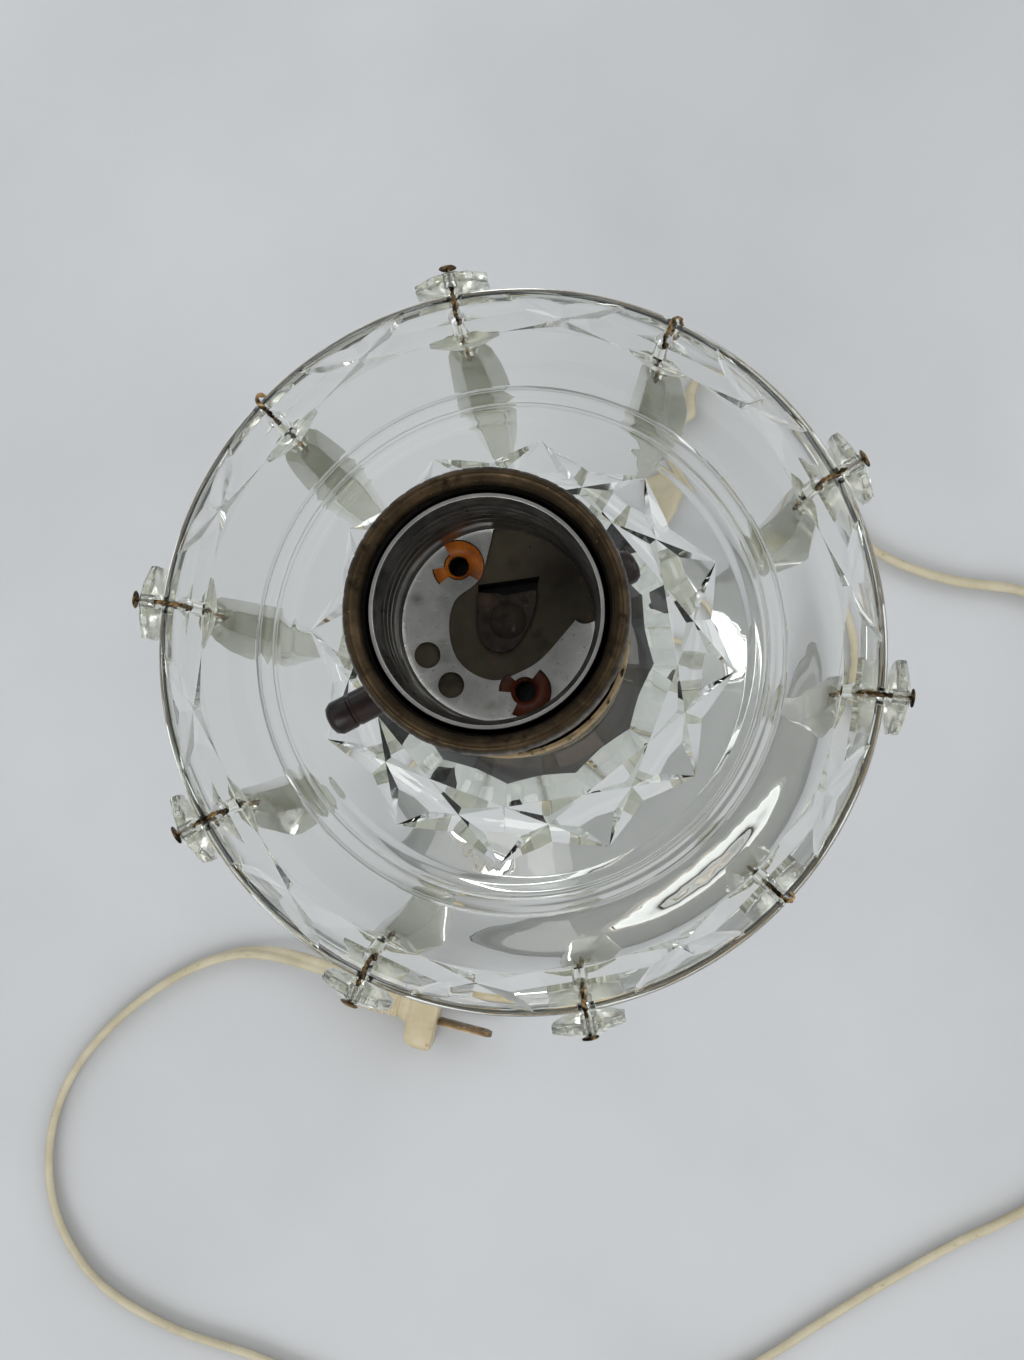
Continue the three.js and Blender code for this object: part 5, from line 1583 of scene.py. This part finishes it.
    def make_spear(self, number: int, place: Matrix, bare: bool) -> None:
        """Makes one spear with its link, and the octagon that hangs above it on a headed pin.

        Args:
            number: the drop's number.
            place: the turn that takes it round the rim.
            bare: whether the octagon at the rim is gone.
        """
        body = f"spear_drop_{number}"
        top = self.link - self.link_height
        corners = []
        for share, size, wide, deep in (
            (0.0, self.spear_top, 0.9, 0.8), (0.012, self.spear_top, 1.0, 1.0),
            (0.07, self.spear_top, 1.35, 1.3), (self.widest_at, self.spear_size, 1.0, 1.0),
            (0.78, self.spear_size, 0.73, 0.73), (1.0, self.spear_size, 0.05, 0.05),
        ):
            width, depth = size[0] * wide, size[1] * deep
            z = top - self.spear_length * share
            for x, y in ((0, -0.5), (0.5, -0.24), (0.5, 0.24), (0, 0.5), (-0.5, 0.24), (-0.5, -0.24)):
                corners.append((self.inner + x * depth, y * width, z))
        spear = hull(f"spear_{number}", corners, 0.12 * MM)
        drill_z = top - 2.4 * MM
        drill = prism("spear_drill", circle(0.8 * MM, 20), -5 * MM, 5 * MM)
        placed(drill, Matrix.Translation((self.inner, 0, drill_z)) @ ALONG_X)
        combined(spear, [drill], Cut.AWAY, 20.0)
        parts = [spear]
        if not bare:
            parts.append(self.octagon("hung_octagon", self.inner, self.hook - self.below_wire))
        glass = merged(f"pendant_{number}", [placed(part, place) for part in parts])
        glass.data.set_sharp_from_angle(angle=math.radians(20))
        fit_piece(glass, body, "drop_glass", SPEAR_GLASS, body)
        half, leg = self.link_width / 2, self.link - top
        side = [
            (0.0, drill_z - 0.1 * MM), (1.5 * MM, drill_z - 0.1 * MM), (half + 0.05 * MM, drill_z + 0.5 * MM),
            (half + 0.05 * MM, self.link - leg * 0.8), (half, self.link - leg * 0.25),
            (half - 0.3 * MM, self.link - 0.25 * MM), (half - 0.9 * MM, self.link - 0.1 * MM),
        ]
        loop = [(self.inner + x, z) for x, z in side] + [(self.inner - x, z) for x, z in reversed(side)]
        points = curved([(x, 0, z) for x, z in loop], 4)
        link = sweep(f"link_{number}", points, circle(self.wire * 0.85, 12), Vector((0, 1, 0)), sharp=60.0)
        placed(link, place)
        fit_piece(link, body, "drop_wire", DROP_WIRE)


# The brass mounts and the socket


@dataclass
class BrassMounts:
    """The check ring on the dish and the little spool under the socket."""

    clear: float = PIPE_CLEAR

    def build(self) -> None:
        """Turns and dresses both."""
        low, high = (corner.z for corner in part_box("check_ring"))
        rise = high - low
        ring = curved([
            (15.3 * MM, low + rise * 0.1), (15.5 * MM, low + rise * 0.22), (15.0 * MM, low + rise * 0.4),
            (13.9 * MM, low + rise * 0.55), (12.4 * MM, low + rise * 0.72), (10.2 * MM, high),
        ], 5)
        outline = [(self.clear, low), (15.1 * MM, low), *map(tuple, ring), (self.clear, high)]
        brass = lathe("check_ring_brass", outline, 128, 35.0)
        fit_piece(brass, LAMP, "aged_brass", GOLD_BRASS, "check_ring")
        low, high = (corner.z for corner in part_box("socket_neck"))
        rise = high - low
        spool = curved([
            (8.2 * MM, low + 0.05 * MM), (8.5 * MM, low + rise * 0.06), (8.4 * MM, low + rise * 0.15),
            (7.3 * MM, low + rise * 0.25), (6.6 * MM, low + rise * 0.38), (6.6 * MM, low + rise * 0.62),
            (7.3 * MM, low + rise * 0.76), (8.4 * MM, low + rise * 0.86), (8.5 * MM, low + rise * 0.94),
            (8.2 * MM, high - 0.05 * MM),
        ], 5)
        outline = [
            (self.clear, low), (8.1 * MM, low), *map(tuple, spool), (8.1 * MM, high), (self.clear, high),
        ]
        brass = lathe("neck_brass", outline, 96, 35.0)
        fit_piece(brass, LAMP, "aged_brass", GOLD_BRASS, "socket_neck")


@dataclass
class LampSocket:
    """The push-through socket: cap, shell, liner, switch body and the lamp's screw shell."""

    clear: float = PIPE_CLEAR
    cap_radius: float = 17.2 * MM
    cap_neck: float = 7.2 * MM
    wall: float = 0.8 * MM
    screw_angle: float = 207.0
    screw_up: float = 2.2 * MM
    shell_radius: float = 16.1 * MM
    shell_wall: float = 0.6 * MM
    bead_radius: float = 17 * MM
    bead_height: float = 6.6 * MM
    mouth: float = 14.7 * MM
    liner_radius: float = 15.2 * MM
    rod_angle: float = 27.4
    rod_radius: float = 2.375 * MM
    rod_length: float = 47.2 * MM
    rod_off: float = -3.3 * MM
    rod_play: float = 0.5 * MM
    rod_up: float = 7.8 * MM
    body_radius: float = 14.3 * MM
    body_flat: float = 11.6 * MM
    floor: float = 12.6 * MM
    thread_pitch: float = 3.63 * MM
    thread_depth: float = 0.6 * MM
    sheet: float = 0.5 * MM
    bushing_out: float = 9.3 * MM
    bushing_reach: float = 3.3 * MM
    tab_reach: float = 1.75 * MM
    bushing_bore: float = 1.35 * MM
    bushings: tuple[tuple[float, tuple[tuple[float, float], ...]], ...] = (
        (124.2, ((127, 185), (226, 322))),
        (292.1, ((58, 134), (184, 236))),
    )
    floor_holes: tuple[tuple[float, float], ...] = ((-9.2 * MM, -3.9 * MM), (-6.1 * MM, -7.8 * MM))

    def build(self) -> None:
        """Makes and dresses the socket's pieces from the cap up."""
        self.shell_low, self.shell_top = (corner.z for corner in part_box("socket_shell"))
        self.rod_height = self.shell_low + self.rod_up
        self.rod_reach = 2 * self.bead_radius
        self.floor_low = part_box("screw_shell")[0].z
        self.make_cap()
        self.make_set_screw()
        self.make_shell()
        self.make_liner()
        self.make_switch_body()
        self.make_terminals()
        self.make_rod()
        self.make_fibre_disc()
        self.make_screw_shell()
        self.make_contact()
        for number, (angle, tabs) in enumerate(self.bushings, 1):
            self.make_bushing(number, angle, tabs)

    def rod_drill(self) -> bpy.types.Object:
        """Makes the drill for the rod's passage.

        Returns:
            The drill in its place.
        """
        section = circle(self.rod_radius + self.rod_play, 32)
        drill = prism("rod_drill", section, -self.rod_reach, self.rod_reach)
        return placed(drill, outward(self.rod_angle, self.rod_height))

    def rod_tools(self) -> list[bpy.types.Object]:
        """Makes what a sleeve is notched with for the rod.

        Returns:
            The drill for the rod and the slot below it.
        """
        corners = oblong(self.rod_reach, self.rod_radius + self.rod_play)
        slot = prism("rod_slot", corners, self.rod_height - 12 * MM, self.rod_height)
        return [self.rod_drill(), placed(slot, about_axis(self.rod_angle))]

    def at_bushing(self, tool: bpy.types.Object, angle: float) -> bpy.types.Object:
        """Moves a piece from the axis to a bushing's place."""
        return placed(tool, Matrix.Translation(polar(self.bushing_out, angle)))

    def bushing_drills(self, low: float, high: float) -> list[bpy.types.Object]:
        """A drill between two heights for each bushing."""
        bore = circle(self.bushing_bore, 32)
        return [self.at_bushing(prism("bushing_drill", bore, low, high), angle) for angle, _ in self.bushings]

    def make_cap(self) -> None:
        """Spins the cap: a short neck that flares into the skirt, with a rolled edge."""
        low, high = (corner.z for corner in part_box("socket_cap"))
        rise, neck = high - low, 4.4 * MM
        flare = rise * 0.68
        shape = [
            (self.cap_neck, neck), (self.cap_radius * 0.6, neck + (flare - neck) * 0.24),
            (self.cap_radius * 0.9, neck + (flare - neck) * 0.62), (self.cap_radius, flare),
        ]
        outer = curved([(r, low + z) for r, z in shape], 8)
        inner = [(max(p[0] - self.wall, self.clear), p[1] + self.wall) for p in reversed(outer)]
        skirt = [
            (self.cap_radius, low + rise * 0.8), (self.cap_radius - 0.12 * MM, low + rise * 0.81),
            (self.cap_radius - 0.12 * MM, low + rise * 0.86), (self.cap_radius, low + rise * 0.87),
            (self.cap_radius, high - 0.3 * MM), (self.cap_radius - 0.25 * MM, high),
            (self.cap_radius - self.wall + 0.1 * MM, high),
        ]
        outline = [
            (self.clear, low), (self.cap_neck - 0.4 * MM, low), (self.cap_neck, low + 0.4 * MM),
            *map(tuple, outer), *skirt, *inner, (self.clear, low + neck + self.wall),
        ]
        cap = lathe("cap_brass", outline, 160, 35.0)
        drill = prism("screw_drill", circle(1.4 * MM, 24), self.clear - MM, self.cap_neck + MM)
        place = outward(self.screw_angle, low + self.screw_up)
        combined(cap, [placed(drill, place)], Cut.AWAY, 35.0)
        fit_piece(cap, LAMP, "aged_brass", AGED_BRASS, "socket_cap")

    def make_set_screw(self) -> None:
        """Turns the slotted screw in the cap's neck."""
        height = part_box("socket_cap")[0].z + self.screw_up
        start, under, end = 5.1 * MM, self.cap_neck + 0.2 * MM, self.cap_neck + 1.4 * MM
        profile = [
            (0, start), (1.0 * MM, start), (1.1 * MM, start + 0.2 * MM), (1.1 * MM, under), (1.9 * MM, under),
            (1.9 * MM, end - 0.3 * MM), (1.6 * MM, end), (0, end),
        ]
        screw = lathe("set_screw", profile, 40, 30.0)
        slot = prism("screw_slot", oblong(3 * MM, 0.25 * MM), end - 0.6 * MM, end + MM)
        combined(screw, [slot], Cut.AWAY, 30.0)
        placed(screw, outward(self.screw_angle, height))
        fit_piece(screw, LAMP, "steel", STEEL, "cap_set_screw")

    def make_shell(self) -> None:
        """Spins the shell, with the rolled bead round its mouth and a row of small nicks under it."""
        low, top, radius, wide = self.shell_low, self.shell_top, self.shell_radius, self.bead_radius
        bead = top - self.bead_height
        inner, inside = radius - self.shell_wall, wide - self.shell_wall
        roll = curved([
            (radius, bead - 1.0 * MM), (wide - 0.35 * MM, bead), (wide, bead + 1.1 * MM),
            (wide, top - 1.6 * MM), (wide - 0.2 * MM, top - 0.7 * MM), (wide - 0.6 * MM, top - 0.12 * MM),
            (wide - 1.0 * MM, top - 0.04 * MM), (self.mouth + 0.7 * MM, top - 0.55 * MM),
            (self.mouth + 0.25 * MM, top - 1.1 * MM), (self.mouth + 0.02 * MM, top - 1.9 * MM),
        ], 6)
        outline = [
            (radius - 0.1 * MM, low), (radius, low + 0.1 * MM), *map(tuple, roll),
            (self.mouth + 0.5 * MM, top - 1.9 * MM), (inside - 0.5 * MM, top - 1.4 * MM),
            (inside, top - 2.4 * MM), (inside, bead + 1.2 * MM), (inner, bead - 0.6 * MM), (inner, low),
        ]

        def nicks(radius: float, height: float, angle: float) -> float:
            """Small dents where the bead was rolled over."""
            on_roll = radius > self.bead_radius - 0.6 * MM and height > bead
            return -0.07 * MM * max(0.0, math.sin(angle * 44)) ** 6 if on_roll else 0.0

        shell = lathe("shell_brass", outline, 352, 35.0, nicks)
        combined(shell, self.rod_tools(), Cut.AWAY, 35.0)
        fit_piece(shell, LAMP, "aged_brass", SHELL_BRASS, "socket_shell")

    def make_liner(self) -> None:
        """Rolls the insulating liner inside the shell."""
        low, high = (corner.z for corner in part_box("shell_liner"))
        inner = self.liner_radius - 0.6 * MM
        outline = [(inner, low), (self.liner_radius, low), (self.liner_radius, high), (inner, high)]
        liner = combined(lathe("paper_liner", outline, 128, 35.0), self.rod_tools(), Cut.AWAY, 35.0)
        fit_piece(liner, LAMP, "black_fibre", BLACK_FIBRE, "shell_liner")

    def make_switch_body(self) -> None:
        """Moulds the switch body: a round block with two flats and the rod's passage."""
        low, high = (corner.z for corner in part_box("switch_body"))
        radius = self.body_radius
        outline = [
            (0, low), (radius - MM, low), (radius, low + MM), (radius, high - 0.3 * MM),
            (radius - 0.3 * MM, high), (0, high),
        ]
        body = lathe("switch_moulding", outline, 96, 35.0)
        tools = []
        for side in (-1, 1):
            near, far = side * self.body_flat, side * 3 * radius
            corners = [(-3 * radius, near), (3 * radius, near), (3 * radius, far), (-3 * radius, far)]
            flat = prism("flat_tool", corners, low - MM, high - 4 * MM)
            tools.append(placed(flat, about_axis(self.rod_angle)))
        tools += self.bushing_drills(high - 7 * MM, high + MM)
        tools.append(prism("contact_pocket", self.slot_corners(), high - 5 * MM, high + MM))
        combined(body, [*tools, self.rod_drill()], Cut.AWAY, 35.0)
        fit_piece(body, LAMP, "bakelite", BAKELITE, "switch_body")

    def make_terminals(self) -> None:
        """Turns the two slotted terminal screws, one of brass and one of steel."""
        under = self.body_flat + 0.2 * MM
        top = under + 1.6 * MM
        profile = [(0, under), (2.6 * MM, under), (2.6 * MM, top - 0.4 * MM), (2.2 * MM, top), (0, top)]
        for side, node, finish, slot_name in (
            (1, "terminal_screw_live", BRIGHT_BRASS, "bright_brass"),
            (-1, "terminal_screw_neutral", STEEL, "steel"),
        ):
            screw = lathe(f"{node}_head", profile, 48, 30.0)
            slot = prism("screw_slot", oblong(4 * MM, 0.3 * MM), top - 0.7 * MM, top + MM)
            combined(screw, [slot], Cut.AWAY, 30.0)
            placed(screw, outward(self.rod_angle + 90 * side, self.rod_height - 5.4 * MM))
            fit_piece(screw, LAMP, slot_name, finish, node)

    def make_rod(self) -> None:
        """Turns the push rod with domed ends and a collar groove by each."""
        end, radius = self.rod_length / 2, self.rod_radius
        tip = [(0, 0), (radius * 0.45, 0.05 * MM), (radius * 0.8, 0.4 * MM), (radius, 1.2 * MM)]
        pressed = radius - 0.15 * MM
        groove = [(radius, 3.4 * MM), (pressed, 3.55 * MM), (pressed, 3.9 * MM), (radius, 4.05 * MM)]
        near = [(r, -end + z) for r, z in tip + groove]
        far = [(r, end - z) for r, z in reversed(tip + groove)]
        rod = lathe("rod_moulding", near + far, 48, 40.0)
        place = Matrix.Translation(polar(self.rod_off, self.rod_angle, self.rod_height))
        placed(rod, place @ about_axis(self.rod_angle) @ ALONG_X)
        fit_piece(rod, "push_rod", "bakelite", BAKELITE, "push_rod")

    def make_fibre_disc(self) -> None:
        """Punches the fibre disc: a slot for the contact and a hole under each bushing."""
        low, high = (corner.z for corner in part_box("fibre_disc"))
        disc = lathe("fibre_disc_punched", [
            (0, low), (self.body_radius, low), (self.body_radius, high - 0.1 * MM),
            (self.body_radius - 0.1 * MM, high), (0, high),
        ], 96, 35.0)
        tools = [prism("contact_slot", self.slot_corners(), low - MM, high + MM)]
        combined(disc, [*tools, *self.bushing_drills(low - MM, high + MM)], Cut.AWAY, 35.0)
        fit_piece(disc, LAMP, "fibre", FIBRE, "fibre_disc")

    def slot_corners(self) -> Outline:
        """The slot that the contact's tongue comes up through."""
        return in_mm((-2.7, 4.3), (-0.4, 4.2), (0.6, 3.9), (5.0, 4.5), (5.3, 6.4), (-2.7, 5.3))

    def cut_out(self) -> Outline:
        """The floor's opening on the contact's side: a wavy inner edge and a round notch at its end.

        Returns:
            Corners of the opening.
        """
        wave = curved(in_mm(
            (-0.7, 12.4), (-1.1, 10.4), (-2.6, 5.8), (-5.6, 3.2), (-6.4, 0), (-5.6, -3.9), (-3.6, -6.1),
            (-0.4, -7.2), (2.9, -6.1), (5.4, -4.6), (9.7, 0.2),
        ), 6)
        middle = Vector((11.2 * MM, 1.8 * MM, 0))
        notch = [tuple((middle + polar(1.7 * MM, degrees)).xy) for degrees in range(225, 295, 10)]
        edge = [tuple(polar(self.floor - 0.1 * MM, degrees).xy) for degrees in range(2, 94, 3)]
        return [*map(tuple, wave), *notch, *edge]

    def window(self, tabs: Sequence[tuple[float, float]], grow: float) -> Outline:
        """The opening over a bushing, a circle with tabs that reach in.

        Args:
            tabs: the degrees from and to which each tab reaches in.
            grow: how much larger than the opening it is all round.

        Returns:
            Its corners about the bushing's axis.
        """
        corners = []
        for degrees in range(0, 360, 4):
            covered = any(start <= degrees <= end for start, end in tabs)
            radius = (self.tab_reach if covered else self.bushing_reach) + grow
            corners.append(tuple(polar(radius, degrees).xy))
        return corners

    def make_screw_shell(self) -> None:
        """Rolls the aluminium screw shell with its round thread, and punches its floor."""
        z, wall, floor = self.floor_low, self.sheet, self.floor
        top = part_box("screw_shell")[1].z
        thread_low, thread_high = z + 3.0 * MM, top - 3.0 * MM
        steps = 54

        def thread(radius: float, height: float, angle: float) -> float:
            """The rolled thread, which fades out at both ends.

            Args:
                radius: not used.
                height: how high it is.
                angle: where it is round the axis, in radians.

            Returns:
                What the thread adds to its radius.
            """
            if not thread_low < height < thread_high:
                return 0.0
            fade = min((height - thread_low) / (2 * MM), (thread_high - height) / (1.6 * MM), 1.0)
            wave = (1 - math.cos(2 * math.pi * (height - thread_low) / self.thread_pitch - angle)) / 2
            return self.thread_depth * fade * wave

        wall_radius = floor + 0.25 * MM
        heights = [thread_low + (thread_high - thread_low) * k / steps for k in range(steps + 1)]
        mouth = 14 * MM
        outline = [
            (0, z), (0, z + wall), (floor - 0.6 * MM, z + wall), (floor - 0.1 * MM, z + wall + 0.2 * MM),
            (wall_radius - 0.02 * MM, z + wall + 0.9 * MM), *[(wall_radius, h) for h in heights],
            (wall_radius + 0.3 * MM, top - 2.2 * MM), (mouth - wall, top - 1.3 * MM),
            (mouth - wall, top - 0.06 * MM), (mouth - wall + 0.07 * MM, top), (mouth - 0.07 * MM, top),
            (mouth, top - 0.06 * MM), (mouth, top - 1.5 * MM),
            (wall_radius + wall + 0.3 * MM, top - 2.5 * MM),
            *[(wall_radius + wall, h) for h in reversed(heights)],
            (floor + wall, z + 0.5 * MM), (floor + wall - 0.4 * MM, z),
        ]
        shell = lathe("lamp_screw_shell", outline, 144, 35.0, thread)
        under, over = z - MM, z + wall + 0.2 * MM
        tools = [prism("floor_opening", self.cut_out(), under, over)]
        for angle, tabs in self.bushings:
            window = prism("window_tool", self.window(tabs, 0.12 * MM), under, over)
            tools.append(self.at_bushing(window, angle))
        for x, y in self.floor_holes:
            hole = prism("floor_hole", circle(1.7 * MM, 40), under, over)
            tools.append(placed(hole, Matrix.Translation((x, y, 0))))
        combined(shell, tools, Cut.AWAY, 35.0)
        fit_piece(shell, LAMP, "aluminium", ALUMINIUM, "screw_shell")

    def make_contact(self) -> None:
        """Stamps the shield-shaped centre contact with its raised dimple."""
        z = self.floor_low
        shield = curved(in_mm(
            (4.9, 4.6), (4.9, 3.0), (4.3, 0.6), (3.1, -1.7), (1.6, -3.3), (-0.4, -3.5), (-2.1, -2.2),
            (-2.7, -0.2), (-2.7, 4.2),
        ), 5)
        bent = in_mm((-0.5, 4.1), (-0.35, 3.6), (0.5, 3.8))
        tongue = prism("contact_tongue", [*map(tuple, shield), *bent], z - 0.05 * MM, z + 0.5 * MM)
        bevelled(tongue, 0.12 * MM, 2, 30.0)
        dimple = lathe("contact_dimple", [
            (0, z + 0.2 * MM), (2.5 * MM, z + 0.2 * MM), (2.4 * MM, z + 0.6 * MM), (1.9 * MM, z + 1.0 * MM),
            (1.0 * MM, z + 1.3 * MM), (0, z + 1.38 * MM),
        ], 40, 50.0)
        placed(dimple, Matrix.Translation((1.2 * MM, 0.6 * MM, 0)))
        contact = merged("contact_shield", [tongue, dimple])
        fit_piece(contact, LAMP, "contact_metal", CONTACT, "centre_contact")

    def make_bushing(self, number: int, angle: float, tabs: Sequence[tuple[float, float]]) -> None:
        """Moulds one resin bushing, which shows in the window between the floor's tabs.

        Args:
            number: the bushing's number.
            angle: degrees from +X to its place.
            tabs: the degrees from and to which each tab reaches in.
        """
        z, reach, bore = self.floor_low, self.bushing_reach, self.bushing_bore
        outline = [
            (bore, z - 0.1 * MM), (reach, z - 0.1 * MM), (reach, z + 0.35 * MM), (reach * 0.8, z + 0.62 * MM),
            (reach * 0.6, z + 0.6 * MM), (bore + 0.2 * MM, z + 0.3 * MM), (bore, z + 0.1 * MM),
        ]
        bushing = lathe(f"bushing_{number}", outline, 72, 40.0)
        stamp = prism("window_stamp", self.window(tabs, -0.02 * MM), z - MM, z + 2 * MM)
        combined(bushing, [stamp], Cut.COMMON, 35.0)
        self.at_bushing(bushing, angle)
        finish = (AMBER, BURNT_AMBER)[number - 1]
        fit_piece(bushing, LAMP, "amber", finish, f"amber_bushing_{number}")


def dress_inner_lead() -> None:
    """The lead inside the pipe keeps its solid, in the same cream."""
    coat(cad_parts["inner_lead"], CREAM_LEAD)


def main() -> None:
    """Builds the lamp's looks piece by piece."""
    logging.basicConfig(level=logging.INFO, format="%(message)s")
    random.seed(7)
    bpy.context.scene.view_settings.view_transform = "Standard"
    Studio().build()
    for part in (MainsLead, GlassStem, PipeAndFixings, GlassDish, HangingDrops, BrassMounts, LampSocket):
        LOG.info("making %s", part.__name__)
        part().build()
    dress_inner_lead()


if __name__ == "__main__":
    main()
